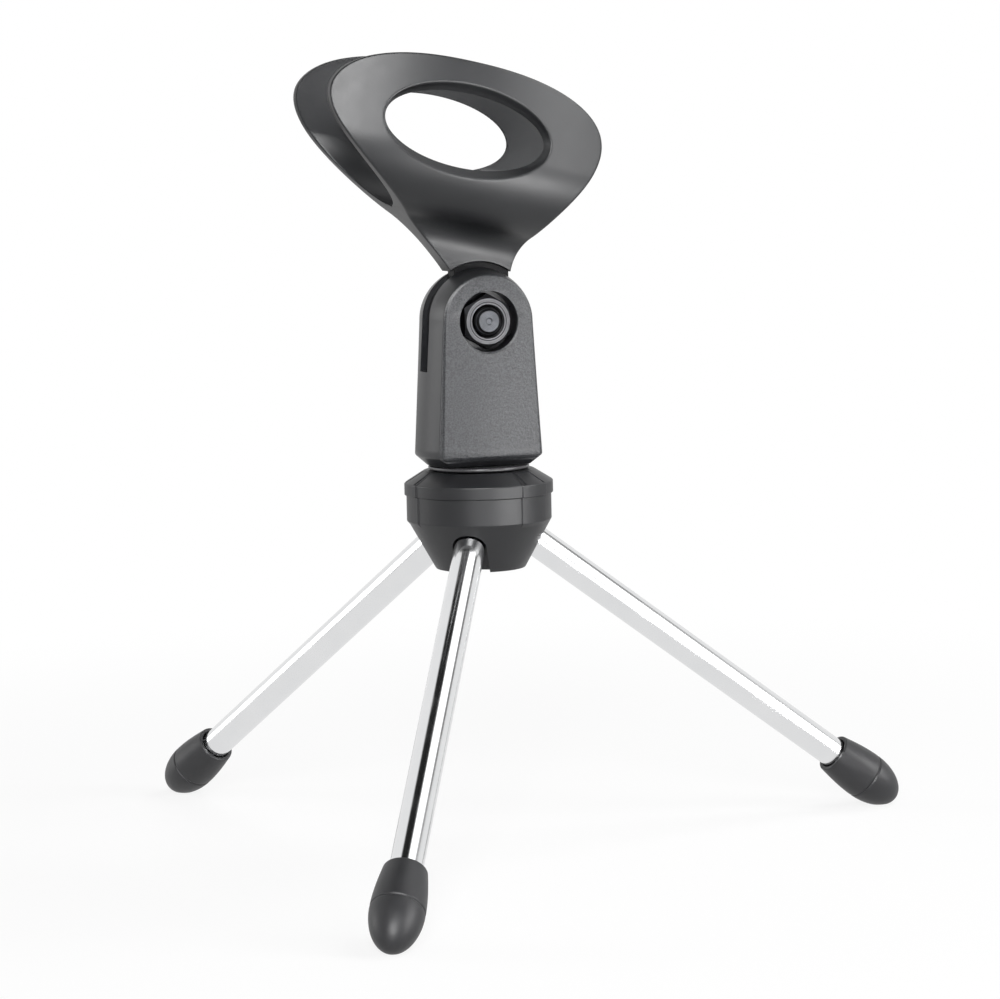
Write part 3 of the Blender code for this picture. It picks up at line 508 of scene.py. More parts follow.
# Clevis and its fastenings


def across_clevis():
    """Shares of the way from the middle to a flat, from one flat to the other, and how far the rounded edges at
    both ends draw each point in: the edge's radius times one less the cosine."""
    turn = np.linspace(math.pi / 2, 0.0, EDGE_STEPS + 1)[:-1]
    part = CLEVIS_EDGE / CLEVIS_HEAD_DEPTH
    edge = 1 - part * (1 - np.sin(turn))
    drawn_in = CLEVIS_EDGE * (1 - np.cos(turn))
    middle = (1 - part) * np.linspace(-1.0, 1.0, ACROSS_POINTS)
    shares = np.concatenate([-edge, middle, edge[::-1]])
    return shares, np.concatenate([drawn_in, np.zeros(ACROSS_POINTS), drawn_in[::-1]])


def clevis_cuts():
    """The tongue's slot, the stud's socket, the nut's round recess, the bolt's hole and its head's pocket."""
    wide, ear = 2 * CLEVIS_FOOT_WIDTH, TONGUE_THICKNESS / 2 + GAP
    slot = block("cut_slot", (HUB_X - wide, -ear, PIVOT_Z - SLOT_FLOOR), (HUB_X + wide, ear, PIVOT_Z + wide))
    socket_top = THREAD_Z + THREAD_TURNS * THREAD_PITCH + STUD_LEAD + 2 * GAP
    socket = rod(STUD_RADIUS + GAP, FLANGE_Z, socket_top)
    face, mouth, outside = CLEVIS_HEAD_DEPTH, NUT_RECESS_RADIUS + 2 * RECESS_LIP, 3 * CLEVIS_HEAD_DEPTH
    recess = np.concatenate(
        [
            [(0.0, outside), (mouth, outside), (mouth, face + 0.2)],
            arc(RECESS_LIP, math.pi / 2, math.pi, 6, (NUT_RECESS_RADIUS + RECESS_LIP, face - RECESS_LIP)),
            [(NUT_RECESS_RADIUS, RECESS_FLOOR), (0.0, RECESS_FLOOR)],
        ]
    )
    reach = RECESS_FLOOR + 1.0
    hole = rod(BOLT_RADIUS + BOLT_CLEARANCE, -reach, reach)
    return [
        slot,
        lathe("cut_socket", socket, ROUND_STEPS, HUB_AXIS, UPRIGHT),
        lathe("cut_recess", recess, 2 * ROUND_STEPS, PIVOT, TOWARDS_NUT),
        lathe("cut_hole", hole, ROUND_STEPS, PIVOT, TOWARDS_NUT),
        hexagon("cut_pocket", HEX_ACROSS + 2 * GAP, RECESS_FLOOR, outside, TOWARDS_HEAD, plain=True),
    ]


def make_clevis():
    """Each side is a row of points from flat to flat, bulged by the square of the share across, carried up the
    side, round the head and down again. Strips across close the flats, and loops close the chamfered foot."""
    climb = np.linspace(0.0, 1.0, SIDE_STEPS + 1)[:-1]
    share_up = np.concatenate([climb, np.ones(HEAD_STEPS + 1), climb[::-1]])
    arch = np.linspace(0.0, math.pi, HEAD_STEPS + 1)
    angle = np.concatenate([np.zeros(SIDE_STEPS), arch, np.full(SIDE_STEPS, math.pi)])
    rise = CLEVIS_LENGTH * share_up
    width = CLEVIS_FOOT_WIDTH + (CLEVIS_HEAD_RADIUS - CLEVIS_FOOT_WIDTH) * share_up
    bulge = CLEVIS_FOOT_BULGE + (CLEVIS_HEAD_BULGE - CLEVIS_FOOT_BULGE) * share_up
    height = rise + (width - bulge) * np.sin(angle)
    depth = CLEVIS_FOOT_DEPTH + (CLEVIS_HEAD_DEPTH - CLEVIS_FOOT_DEPTH) * height / CLEVIS_LENGTH
    shares, drawn_in = across_clevis()
    reach = width[:, None] - bulge[:, None] * shares**2 - drawn_in
    x, y = reach * np.cos(angle)[:, None], depth[:, None] * shares
    points = np.stack([x, y, LIP_Z + rise[:, None] + reach * np.sin(angle)[:, None]], axis=-1)
    half = len(points) // 2 + 1
    flats = [np.stack([points[:half, j], points[::-1][:half, j]], axis=1) for j in (0, -1)]
    lip = np.concatenate([points[0], points[-1][::-1]])
    loops = [lip]
    for inset, drop in CLEVIS_LIP:
        shrink = np.array((1 - inset / CLEVIS_FOOT_WIDTH, 1 - inset / CLEVIS_FOOT_DEPTH))
        loops.append(np.column_stack([lip[:, :2] * shrink, np.full(len(lip), LIP_Z - drop)]))
    loops.append(np.tile((0.0, 0.0, CLEVIS_UNDER_Z), (len(lip), 1)))
    grids = [(grid + HUB_AXIS, False, False) for grid in (points, *flats)]
    body = surface("clevis_shell", grids + [(np.stack(loops) + HUB_AXIS, False, True)], 30.0)
    return carve(body, clevis_cuts(), 30.0)


def hexagon(name, across, low, high, axes, bore=0.0, plain=False):
    """A hexagonal prism. Its radius is half its width over the cosine of the angle off a flat's middle. Past
    the chamfer's circle its outer end falls by the slope times the distance, unless it is plain."""
    angles = np.linspace(0.0, 2 * math.pi, 2 * ROUND_STEPS, endpoint=False)
    off = (angles + math.pi / 6) % (math.pi / 3) - math.pi / 6
    corner = across / 2 / np.cos(off)
    circle = np.full_like(angles, across / 2 * HEX_FACE)
    slope = 0.0 if plain else math.tan(HEX_CHAMFER)
    fall = lambda radius: high - slope * np.maximum(radius - circle, 0.0)
    level = lambda radius, height: (np.full_like(angles, radius), np.full_like(angles, height))
    if bore:
        rings = [level(bore, low), level(bore, high - BORE_CHAMFER), level(bore + BORE_CHAMFER, high)]
    else:
        rings = [level(0.0, high)]
    if not plain:
        halfway = (circle + corner) / 2
        rings += [(circle - 0.15, level(0.0, high)[1]), (circle, fall(circle)), (halfway, fall(halfway))]
    rings += [(corner, fall(corner)), (corner, level(0.0, low)[1])]
    if not bore:
        rings.append(level(0.0, low))
    rows = [np.stack([radius * np.cos(angles), radius * np.sin(angles), z], axis=-1) for radius, z in rings]
    return surface(name, [(placed(np.stack(rows), PIVOT, axes), bool(bore), True)], 20.0)


def make_bolt_shank():
    """A turned end with a chamfer and a shallow centre mark, and a plain shank through the ears."""
    end = NUT_SEAT + NUT_HEIGHT + BOLT_PAST_NUT
    start = -(NUT_SEAT + SHANK_IN_HEAD)
    mark_floor, mark_rim = BOLT_MARK
    profile = rounded(
        [
            (0.0, end - BOLT_MARK_DEPTH),
            (mark_floor, end - BOLT_MARK_DEPTH),
            (mark_rim, end),
            (BOLT_RADIUS - BOLT_CHAMFER, end),
            (BOLT_RADIUS, end - BOLT_CHAMFER),
            (BOLT_RADIUS, start),
            (0.0, start),
        ],
        0.1,
    )
    return lathe("bolt_shank", supported(profile), BOLT_STEPS, PIVOT, TOWARDS_NUT)


# Clip


def on_wings(along, up):
    """x and height from the pivot of a point on the wing's own tilted axes."""
    cos, sin = math.cos(WING_TILT), math.sin(WING_TILT)
    return WING_X + along * cos + up * sin, WING_HEIGHT - along * sin + up * cos


def from_wings(points):
    """The other way: along and up for points of x and height."""
    cos, sin = math.cos(WING_TILT), math.sin(WING_TILT)
    dx, dz = points[:, 0] - WING_X, points[:, 1] - WING_HEIGHT
    return np.stack([dx * cos - dz * sin, dx * sin + dz * cos], axis=1)


def wing_points(angles):
    """The wing's outline, a superellipse: signed powers of the cosine and the sine."""
    power = 2 / WING_SQUARENESS
    cos, sin = np.cos(angles), np.sin(angles)
    along = np.sign(cos) * np.abs(cos) ** power * WING_HALF_LENGTH
    up = np.sign(sin) * np.abs(sin) ** power * WING_HALF_HEIGHT
    return np.stack(on_wings(along, up), axis=1)


def bezier(a, b, c, d):
    """A cubic curve from the first point to the last, drawn towards the two between them."""
    t = np.linspace(0.0, 1.0, DRAWN_POINTS)[:, None]
    return (1 - t) ** 3 * a + 3 * t * (1 - t) ** 2 * b + 3 * t**2 * (1 - t) * c + t**3 * d


def evenly(points, step):
    """The same curve with points a fixed step apart, both ends kept."""
    lengths = np.concatenate([[0.0], np.cumsum(np.linalg.norm(np.diff(points, axis=0), axis=1))])
    at = np.linspace(0.0, lengths[-1], max(int(lengths[-1] / step), 2) + 1)
    return np.stack([np.interp(at, lengths, points[:, i]) for i in range(2)], axis=1)


def clip_outline():
    """Over the wings, down the back flank, along the arc over the clevis's head and up the front flank."""
    top = wing_points(np.linspace(FRONT_LEAVES, BACK_LEAVES, DRAWN_POINTS))
    tangent = lambda i, j: (top[j] - top[i]) / np.linalg.norm(top[j] - top[i])
    radius = CLEVIS_HEAD_RADIUS + NECK_CLEARANCE
    back_foot, front_foot = np.array((-NECK_BACK, NECK_RISE)), np.array((NECK_FRONT, NECK_RISE))
    back_lean = np.array((-math.sin(BACK_FLARE), math.cos(BACK_FLARE))) * BACK_HANDLES[1]
    front_lean = np.array((math.sin(FRONT_FLARE), math.cos(FRONT_FLARE))) * FRONT_HANDLES[1]
    back_start = top[-1] + tangent(-2, -1) * BACK_HANDLES[0]
    front_end = top[0] - tangent(0, 1) * FRONT_HANDLES[0]
    back = bezier(top[-1], back_start, back_foot + back_lean, back_foot)
    front = bezier(front_foot, front_foot + front_lean, front_end, top[0])
    back = back[np.hypot(back[:, 0], back[:, 1]) > radius]
    front = front[np.hypot(front[:, 0], front[:, 1]) > radius]
    start = math.atan2(back[-1, 1], back[-1, 0])
    end = math.atan2(front[0, 1], front[0, 0])
    under = arc(radius, start, end, 60)
    return np.concatenate([evenly(part, OUTLINE_STEP)[:-1] for part in (top, back, under, front)])


class Section:
    """A contour of the clip's cross-section from the top down, read by the length along it."""

    def __init__(self, points):
        self.length = np.concatenate([[0.0], np.cumsum(np.linalg.norm(np.diff(points, axis=0), axis=1))])
        self.points = points

    def at_height(self, up):
        """The length at which the contour passes this height. Past its foot, the length goes on below it."""
        low = self.points[-1, 1]
        inside = np.interp(-np.maximum(up, low), -self.points[:, 1], self.length)
        return inside + np.maximum(low - up, 0.0)

    def place(self, along, length):
        """World points at these places along the wing and lengths along the contour."""
        y = np.interp(length, self.length, self.points[:, 0])
        x, z = on_wings(along, np.interp(length, self.length, self.points[:, 1]))
        return np.stack([x + HUB_X, y, z + PIVOT_Z], axis=-1)


def clip_sections():
    """Outside: wing, cradle, fillet and neck. Inside: wing and cradle down to its lowest line."""
    drop = CRADLE_DROP + WINDOW_DROP
    outer, inner = CRADLE_RADIUS + CLIP_WALL / 2, CRADLE_RADIUS - CLIP_WALL / 2
    neck = NECK_THICKNESS / 2
    centre_y = neck + NECK_FILLET
    centre_u = -math.sqrt((outer + NECK_FILLET) ** 2 - centre_y**2)
    meet = math.atan2(-centre_u, -centre_y)
    above = np.linspace(2.5 * WING_HALF_HEIGHT, 0.0, 200)[:-1]
    lean = np.array((math.cos(WING_LEAN), math.sin(WING_LEAN)))
    climb = np.array((-math.sin(WING_LEAN), math.cos(WING_LEAN)))
    wing = lambda radius: radius * lean + above[:, None] * climb
    outside = np.concatenate(
        [
            wing(outer),
            arc(outer, WING_LEAN, meet - math.pi, 300)[:-1],
            arc(NECK_FILLET, meet, math.pi, 120, (centre_y, centre_u))[:-1],
            np.stack([np.full(80, neck), np.linspace(centre_u, -60.0, 80)], axis=1),
        ]
    )
    inside = np.concatenate([wing(inner), arc(inner, WING_LEAN, -math.pi / 2, 300)])
    inside[-1, 0] = 0.0
    shift = np.array((0.0, -drop))
    return Section(outside + shift), Section(inside + shift)


def unit(vectors):
    return vectors / np.maximum(np.linalg.norm(vectors, axis=-1, keepdims=True), 1e-9)


def rim(start, corner, end, steps=6):
    """Rows of a rounded edge: a parabola from one face to the other, drawn towards their corner."""
    t = np.linspace(0.0, 1.0, steps + 1)[:, None, None]
    return (1 - t) ** 2 * start + 2 * t * (1 - t) * corner + t**2 * end


def sheet_rows(section, near, far, near_round, far_round):
    """Rows of points over one face of the clip, with room left for a rounded edge at the window and at the
    outline."""
    run = far - near
    length = np.linalg.norm(run, axis=1)
    step = run / length[:, None]
    runs = near_round + (length - near_round - far_round) * SHEET_SHARES[:, None]
    flat = near + step * runs[..., None]
    return section.place(flat[..., 0], flat[..., 1])


def clip_half():
    """A ring of points for each step round the window: out over the outer face, over the rim, back over the
    inner face and through the window's drafted wall. Down the neck, the inner face ends on the cradle's lowest
    line and the ring closes over the plane between the two halves."""
    outside, inside = clip_sections()
    outline = from_wings(clip_outline())
    along, up = outline[:, 0], outline[:, 1]
    low = inside.points[-1, 1]
    centre_out = outside.at_height(np.array(-WINDOW_DROP))
    centre_in = inside.at_height(np.array(-WINDOW_DROP))
    far_out = np.stack([along, outside.at_height(up)], axis=1)
    far_in = np.stack([along, inside.at_height(up)], axis=1)
    off_up = (centre_out - far_out[:, 1]) / WINDOW_HALF_HEIGHT
    angle = np.arctan2(off_up, (along - WINDOW_SHIFT) / WINDOW_HALF_LENGTH)

    def oval(half_length, half_height, centre):
        off_along = WINDOW_SHIFT + half_length * np.cos(angle)
        return np.stack([off_along, centre - half_height * np.sin(angle)], axis=1)

    window_out = oval(WINDOW_HALF_LENGTH, WINDOW_HALF_HEIGHT, centre_out)
    window_in = oval(WINDOW_HALF_LENGTH - WINDOW_END_BEVEL, WINDOW_HALF_HEIGHT - WINDOW_SIDE_BEVEL, centre_in)
    below = far_in[:, 1] > inside.length[-1]
    share = (inside.length[-1] - window_in[:, 1]) / np.maximum(far_in[:, 1] - window_in[:, 1], 1e-6)
    share = np.where(below, share, 1.0)[:, None]
    far_in = window_in + (far_in - window_in) * share

    edge = np.full(len(along), CLIP_EDGE)
    risen = np.clip((up - low - INNER_EDGE_START) / INNER_EDGE_RUN, 0.02, 1.0)
    edge_in = np.where(below, 0.0, CLIP_EDGE * risen)
    outer = sheet_rows(outside, window_out, far_out, edge, edge)
    inner = sheet_rows(inside, window_in, far_in, edge, edge_in)
    inner[-1, below, 1] = 0.0
    x, z = on_wings(along, up)
    on_plane = np.stack([x + HUB_X, np.zeros_like(x), z + PIVOT_Z], axis=-1)

    hidden = below[:, None]
    window_corner_out, window_corner_in = outside.place(*window_out.T), inside.place(*window_in.T)
    corner_out = outside.place(*far_out.T)
    corner_in = np.where(hidden, inner[-1], inside.place(*far_in.T))
    wall = unit(window_corner_in - window_corner_out) * CLIP_EDGE
    edge_face = unit(np.where(hidden, on_plane, corner_in) - corner_out) * CLIP_EDGE
    back_face = unit(corner_out - corner_in) * edge_in[:, None]
    middle = np.where(hidden, on_plane, (corner_out + corner_in) / 2)
    return np.concatenate(
        [
            rim(window_corner_out + wall, window_corner_out, outer[0]),
            outer[1:-1],
            rim(outer[-1], corner_out, corner_out + edge_face),
            middle[None],
            rim(corner_in + back_face, corner_in, inner[-1]),
            inner[-2:0:-1],
            rim(inner[0], window_corner_in, window_corner_in - wall),
        ]
    )


def make_clip():
    """The half and its mirror image, welded where they meet. Faces on the plane between them are removed."""
    rows = clip_half()
    mirrored = rows * np.array((1.0, -1.0, 1.0))
    clip = surface("clip_shell", [(rows, True, True), (mirrored, True, True)], CLIP_SHARP)
    shell = bmesh.new()
    shell.from_mesh(clip.data)
    hidden = [f for f in shell.faces if all(abs(v.co.y) < 1e-7 for v in f.verts)]
    bmesh.ops.delete(shell, geom=hidden, context="FACES")
    bmesh.ops.recalc_face_normals(shell, faces=shell.faces)
    shell.to_mesh(clip.data)
    shell.free()
    clip.data.shade_smooth()
    clip.data.set_sharp_from_angle(angle=math.radians(CLIP_SHARP))
    return clip


def make_tongue():
    """A flat disc with shoulders that run up into the neck, and a hole for the bolt. A ring of four points for
    each step round: outline and hole on one face, then hole and outline on the other."""
    root = CLEVIS_HEAD_RADIUS + NECK_CLEARANCE + TONGUE_ROOT
    front, back = NECK_FRONT - SHOULDER_INSET, NECK_BACK - SHOULDER_INSET
    start, end = math.pi - math.acos(back / TONGUE_RADIUS), 2 * math.pi + math.acos(front / TONGUE_RADIUS)
    outline = np.concatenate([arc(TONGUE_RADIUS, start, end, 120), [(front, root), (-back, root)]])
    outline = evenly(np.concatenate([outline, outline[:1]]), 0.5)[:-1]
    angle = np.arctan2(outline[:, 1], outline[:, 0])
    hole = np.stack([np.cos(angle), np.sin(angle)], axis=1) * (BOLT_RADIUS + BOLT_CLEARANCE)
    half = TONGUE_THICKNESS / 2
    level = lambda flat, y: np.stack([flat[:, 0] + HUB_X, np.full(len(flat), y), flat[:, 1] + PIVOT_Z], axis=1)
    rows = np.stack([level(outline, -half), level(hole, -half), level(hole, half), level(outline, half)])
    return surface("clip_tongue", [(rows, True, True)], 30.0)


# Finishes


class Number:
    """A value in a material. Arithmetic on it adds Math nodes."""

    def __init__(self, paint, socket):
        self.paint = paint
        self.socket = socket

    def _math(self, operation, *values):
        made = self.paint.node("ShaderNodeMath", {"operation": operation}, dict(enumerate(values)))
        return Number(self.paint, made.outputs[0])

    def __add__(self, other):
        return self._math("ADD", self, other)

    def __radd__(self, other):
        return self._math("ADD", other, self)

    def __sub__(self, other):
        return self._math("SUBTRACT", self, other)

    def __rsub__(self, other):
        return self._math("SUBTRACT", other, self)

    def __mul__(self, other):
        return self._math("MULTIPLY", self, other)

    def __rmul__(self, other):
        return self._math("MULTIPLY", other, self)

    def __abs__(self):
        return self._math("ABSOLUTE", self)

    def sine(self):
        return self._math("SINE", self)

    def root(self):
        return self._math("SQRT", self)

    def between(self, low, high):
        """Nought below the first value, one above the second, smooth between them."""
        made = self.paint.node(
            "ShaderNodeMapRange",
            {"interpolation_type": "SMOOTHSTEP"},
            {"Value": self, "From Min": low, "From Max": high},
        )
        return Number(self.paint, made.outputs["Result"])


class Paint:
    """A material under construction."""

    def __init__(self, name, roughness, metallic=0.0, specular=0.5):
        self.made = bpy.data.materials.new(name)
        self.made.use_nodes = True
        self.tree = self.made.node_tree
        self.shader = self.tree.nodes["Principled BSDF"]
        self.shader.inputs["Roughness"].default_value = roughness
        self.shader.inputs["Metallic"].default_value = metallic
        self.shader.inputs["Specular IOR Level"].default_value = specular
        self.place = self.node("ShaderNodeTexCoord").outputs["Object"]

    def node(self, kind, settings=None, values=None):
        made = self.tree.nodes.new(kind)
        for key, value in (settings or {}).items():
            setattr(made, key, value)
        for key, value in (values or {}).items():
            self.feed(made.inputs[key], value)
        return made

    def feed(self, socket, value):
        if isinstance(value, Number):
            value = value.socket
        if isinstance(value, bpy.types.NodeSocket):
            self.tree.links.new(value, socket)
        else:
            socket.default_value = value

    def axes(self):
        made = self.node("ShaderNodeSeparateXYZ", None, {"Vector": self.place})
        return [Number(self, made.outputs[axis]) for axis in "XYZ"]

    def noise(self, grain_mm, detail=3.0, roughness=0.55):
        """Fractal noise between nought and one whose features are about this many millimetres wide."""
        scale = 1 / (grain_mm * MM)
        values = {"Vector": self.place, "Scale": scale, "Detail": detail, "Roughness": roughness}
        return Number(self, self.node("ShaderNodeTexNoise", None, values).outputs["Fac"])

    def cells(self, grain_mm, feature="F1"):
        made = self.node(
            "ShaderNodeTexVoronoi",
            {"feature": feature},
            {"Vector": self.place, "Scale": 1 / (grain_mm * MM)},
        )
        return Number(self, made.outputs["Distance"])

    def mixed(self, share, first, second):
        made = self.node("ShaderNodeMix", {"data_type": "RGBA"})
        self.feed(made.inputs[0], share)
        self.feed(made.inputs[6], first if isinstance(first, bpy.types.NodeSocket) else (*first, 1.0))
        self.feed(made.inputs[7], second if isinstance(second, bpy.types.NodeSocket) else (*second, 1.0))
        return made.outputs[2]

    def finish(self, colour, roughness=None, height=None, depth_mm=0.0):
        self.feed(self.shader.inputs["Base Color"], colour)
        if roughness is not None:
            self.feed(self.shader.inputs["Roughness"], roughness)
        if height is not None:
            self.feed(self.shader.inputs["Normal"], self.bump(height, depth_mm))
        return self.made

    def bump(self, height, depth_mm):
        values = {"Height": height, "Distance": depth_mm * MM, "Strength": 1.0}
        return self.node("ShaderNodeBump", None, values).outputs["Normal"]

    def turned(self, share, first, second):
        """A normal that goes from the first to the second."""
        made = self.node("ShaderNodeMix", {"data_type": "VECTOR"})
        self.feed(made.inputs[0], share)
        self.feed(made.inputs[4], first)
        self.feed(made.inputs[5], second)
        return self.node("ShaderNodeVectorMath", {"operation": "NORMALIZE"}, {0: made.outputs[1]}).outputs[0]


def dusted(paint, base, pale, amount=0.03):
    """A dark plastic with soft cloudy variation and a few pale specks of dust."""
    cloud = paint.noise(9.0, 3.0)
    speck = 1 - paint.cells(1.9).between(0.03, 0.06)
    rare = paint.noise(2.3, 1.0).between(0.66, 0.70)
    return paint.mixed(cloud * 0.5 + speck * rare * (amount * 10), base, pale)


METRE = 1 / MM  # the depth for a height that is in metres itself


def clip_finish():
    """Satin plastic with a fine grain. The wings' outer faces are cambered along their length: their height
    falls with the square of the distance from their middle. The inner faces are flat and duller, and the neck
    has a coarser grain."""
    paint = Paint("clip_satin", 0.36)
    x, y, z = paint.axes()
    on_x, on_z = x - (HUB_X + WING_X) * MM, z - (PIVOT_Z + WING_HEIGHT) * MM
    along = on_x * math.cos(WING_TILT) - on_z * math.sin(WING_TILT)
    up = on_x * math.sin(WING_TILT) + on_z * math.cos(WING_TILT) + (CRADLE_DROP + WINDOW_DROP) * MM
    leaned = abs(y) * math.cos(WING_LEAN) + up * math.sin(WING_LEAN)
    within = 1 - leaned.between((CRADLE_RADIUS - FACE_BLEND) * MM, (CRADLE_RADIUS + FACE_BLEND) * MM)
    outer = 1 - within * up.between(0.0, MM)
    neck = 1 - up.between(NECK_GRAIN_FROM * MM, (NECK_GRAIN_FROM + NECK_GRAIN_FADE) * MM)
    colour = dusted(paint, (0.0065, 0.0068, 0.0078), (0.011, 0.0116, 0.013))
    grain = paint.noise(0.33, 3.0, 0.6)
    height = grain * (1 + neck * NECK_GRAIN) * (CLIP_GRAIN * MM)
    camber = along * along * (WING_CAMBER / MM)
    normal = paint.turned(outer, paint.bump(height, METRE), paint.bump(height - camber, METRE))
    paint.feed(paint.shader.inputs["Normal"], normal)
    roughness = 0.30 + 0.10 * paint.noise(3.5, 3.0) + 0.10 * grain + 0.12 * neck
    return paint.finish(colour, roughness + (1 - outer) * 0.25)


def tongue_painted_shade_finish():
    """The same plastic where it turns between the ears, painted near-black with little reflection: painted shade
    for the slot.
    """
    paint = Paint("tongue_painted_black_shade", 0.5, specular=0.12)
    colour = paint.mixed(paint.noise(1.5), (0.0022, 0.0022, 0.0024), (0.0045, 0.0045, 0.005))
    return paint.finish(colour, 0.40 + 0.2 * paint.noise(0.9), paint.noise(0.4), 0.01)


def clevis_finish():
    """Spark-eroded grain on the two flats, which fall off a little towards their edges. The sides are
    smoother."""
    paint = Paint("clevis_grain", 0.5)
    x, y, _ = paint.axes()
    off = x - HUB_X * MM
    flat = abs(y).between((CLEVIS_HEAD_DEPTH - 0.75) * MM, (CLEVIS_HEAD_DEPTH - 0.15) * MM)
    leather = paint.cells(0.62, "SMOOTH_F1") * 0.6 + paint.noise(0.50, 4.0, 0.62)
    fine = paint.noise(0.35, 2.0)
    grain = leather * flat + fine * (1 - flat) * 0.15
    height = grain * (CLEVIS_GRAIN * MM) - flat * off * off * (CLEVIS_CROWN / MM)
    speckle = paint.noise(0.34, 2.0, 0.7).between(0.34, 0.66)
    colour = paint.mixed(speckle * flat, (0.012, 0.0125, 0.014), (0.044, 0.0455, 0.049))
    roughness = 0.32 + speckle * flat * 0.10 + 0.06 * paint.noise(2.0, 3.0)
    return paint.finish(colour, roughness, height, METRE)


def hub_finish():
    paint = Paint("hub_satin", 0.42)
    colour = dusted(paint, (0.0065, 0.0066, 0.0076), (0.012, 0.0124, 0.014))
    grain = paint.noise(0.30, 3.0)
    roughness = 0.32 + 0.12 * paint.noise(2.8, 3.0) + 0.05 * grain
    return paint.finish(colour, roughness, grain, 0.008)


def stud_finish():
    paint = Paint("stud_satin", 0.3)
    colour = paint.mixed(paint.noise(1.2), (0.030, 0.030, 0.032), (0.060, 0.060, 0.063))
    return paint.finish(colour, 0.22 + 0.15 * paint.noise(0.6, 3.0), paint.noise(0.25), 0.01)


def rubber_finish():
    paint = Paint("foot_rubber_matt", 0.6, specular=0.42)
    grain = paint.noise(0.28, 3.0, 0.65)
    colour = paint.mixed(paint.noise(3.2) * 0.7 + grain * 0.3, (0.012, 0.012, 0.013), (0.027, 0.027, 0.029))
    return paint.finish(colour, 0.36 + 0.18 * paint.noise(1.6), grain, 0.015)


def chrome_finish():
    """Bright plate with slightly hazy patches."""
    paint = Paint("leg_plate", 0.08, 1.0)
    haze = paint.noise(7.0, 4.0)
    colour = paint.mixed(haze, (0.78, 0.79, 0.80), (0.88, 0.88, 0.885))
    return paint.finish(colour, 0.12 + 0.08 * haze.between(0.42, 0.78))


TURNING_DEPTH = 0.010
# width in millimetres over which each ring of painted shade fades in
SHADE_RING_EDGE = 0.06


def turned_finish(name, dark, bright, ring_mm, shaded_radii=()):
    """Steel with turning rings about the pivot: the sine of the distance from its axis. Between the pairs of
    radii in millimetres it is painted near-black and rougher: painted shade in the recess, grooves and chamfers."""
    paint = Paint(name, 0.32, 1.0)
    x, _, z = paint.axes()
    dx, dz = x - HUB_X * MM, z - PIVOT_Z * MM
    radius = (dx * dx + dz * dz).root()
    rings = (radius * (2 * math.pi / (ring_mm * MM))).sine() * 0.5 + 0.5
    wear = paint.noise(0.8, 4.0)
    painted_shade = 0.0
    for low, high in shaded_radii:
        past_low = radius.between((low - SHADE_RING_EDGE) * MM, (low + SHADE_RING_EDGE) * MM)
        past_high = radius.between((high - SHADE_RING_EDGE) * MM, (high + SHADE_RING_EDGE) * MM)
        painted_shade = painted_shade + past_low * (1 - past_high)
    steel = paint.mixed(wear * 0.7 + rings * 0.3, dark, bright)
    # painted shade: near-black mixed into the steel between the listed radii
    colour = paint.mixed(painted_shade, steel, (0.012, 0.012, 0.013))
    return paint.finish(colour, 0.24 + 0.2 * wear + 0.2 * painted_shade, rings + wear * 0.6, TURNING_DEPTH)


def pin_finish():
    paint = Paint("pin_zinc", 0.35, 1.0)
    wear = paint.noise(0.9, 3.0)
    colour = paint.mixed(wear, (0.36, 0.36, 0.37), (0.52, 0.52, 0.53))
    return paint.finish(colour, 0.28 + 0.2 * wear, wear, 0.01)


# Pieces on the frame


def add(piece, name, body, slot, paint, *nodes):
    piece.name = name
    piece.data.materials.clear()
    piece.data.materials.append(paint)
    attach(piece, body)
    if nodes:
        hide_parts(*nodes)
    return piece


CLIP, TONGUE, CLEVIS, HUB, STUD = clip_finish(), tongue_painted_shade_finish(), clevis_finish(), hub_finish(), stud_finish()
RUBBER, CHROME, ZINC = rubber_finish(), chrome_finish(), pin_finish()
# Radii in millimetres between which the nut and the bolt's end are painted near-black: painted shade
NUT_PAINTED_SHADE = ((0.0, 3.15), (3.86, 4.04), (4.72, 9.0))
BOLT_PAINTED_SHADE = ((2.22, 2.62), (2.74, 9.0))
NUT = turned_finish("nut_steel_turned", (0.040, 0.040, 0.042), (0.095, 0.095, 0.100), 0.45, NUT_PAINTED_SHADE)
BOLT = turned_finish("bolt_steel_turned", (0.032, 0.033, 0.036), (0.084, 0.087, 0.094), 0.3, BOLT_PAINTED_SHADE)
HEAD = turned_finish("head_steel_turned", (0.16, 0.16, 0.17), (0.34, 0.34, 0.36), 0.45)

add(make_hub_body(), "hub_body_shell", "base", "hub_plastic", HUB, "hub_body")
add(make_hub_cap(), "hub_cap_shell", "base", "hub_plastic", HUB, "hub_cap")
add(make_stud(), "stud_and_flange", "base", "stud_plastic", STUD, "thread_stud")
for leg in LEG_NAMES:
    add(make_tube(leg), f"chrome_tube_{leg}", f"leg_{leg}", "leg_chrome", CHROME, f"leg_tube_{leg}")
    add(make_foot(leg), f"rubber_foot_{leg}", f"leg_{leg}", "foot_rubber", RUBBER, f"leg_foot_{leg}")
add(make_clevis(), "clevis_body", "swivel", "clevis_plastic", CLEVIS, "clevis")
nut = hexagon("nut", HEX_ACROSS, NUT_SEAT, NUT_SEAT + NUT_HEIGHT, TOWARDS_NUT, bore=BOLT_RADIUS + NUT_CLEARANCE)
add(nut, "nut_turned", "swivel", "nut_steel", NUT, "pivot_nut")
add(make_bolt_shank(), "bolt_shank", "swivel", "nut_steel", BOLT, "pivot_bolt")
head = hexagon("head", HEX_ACROSS, NUT_SEAT, NUT_SEAT + BOLT_HEAD_HEIGHT, TOWARDS_HEAD)
add(head, "bolt_head", "swivel", "nut_steel", HEAD)
add(make_clip(), "clip_body", "clip", "clip_plastic", CLIP, "mic_clip")
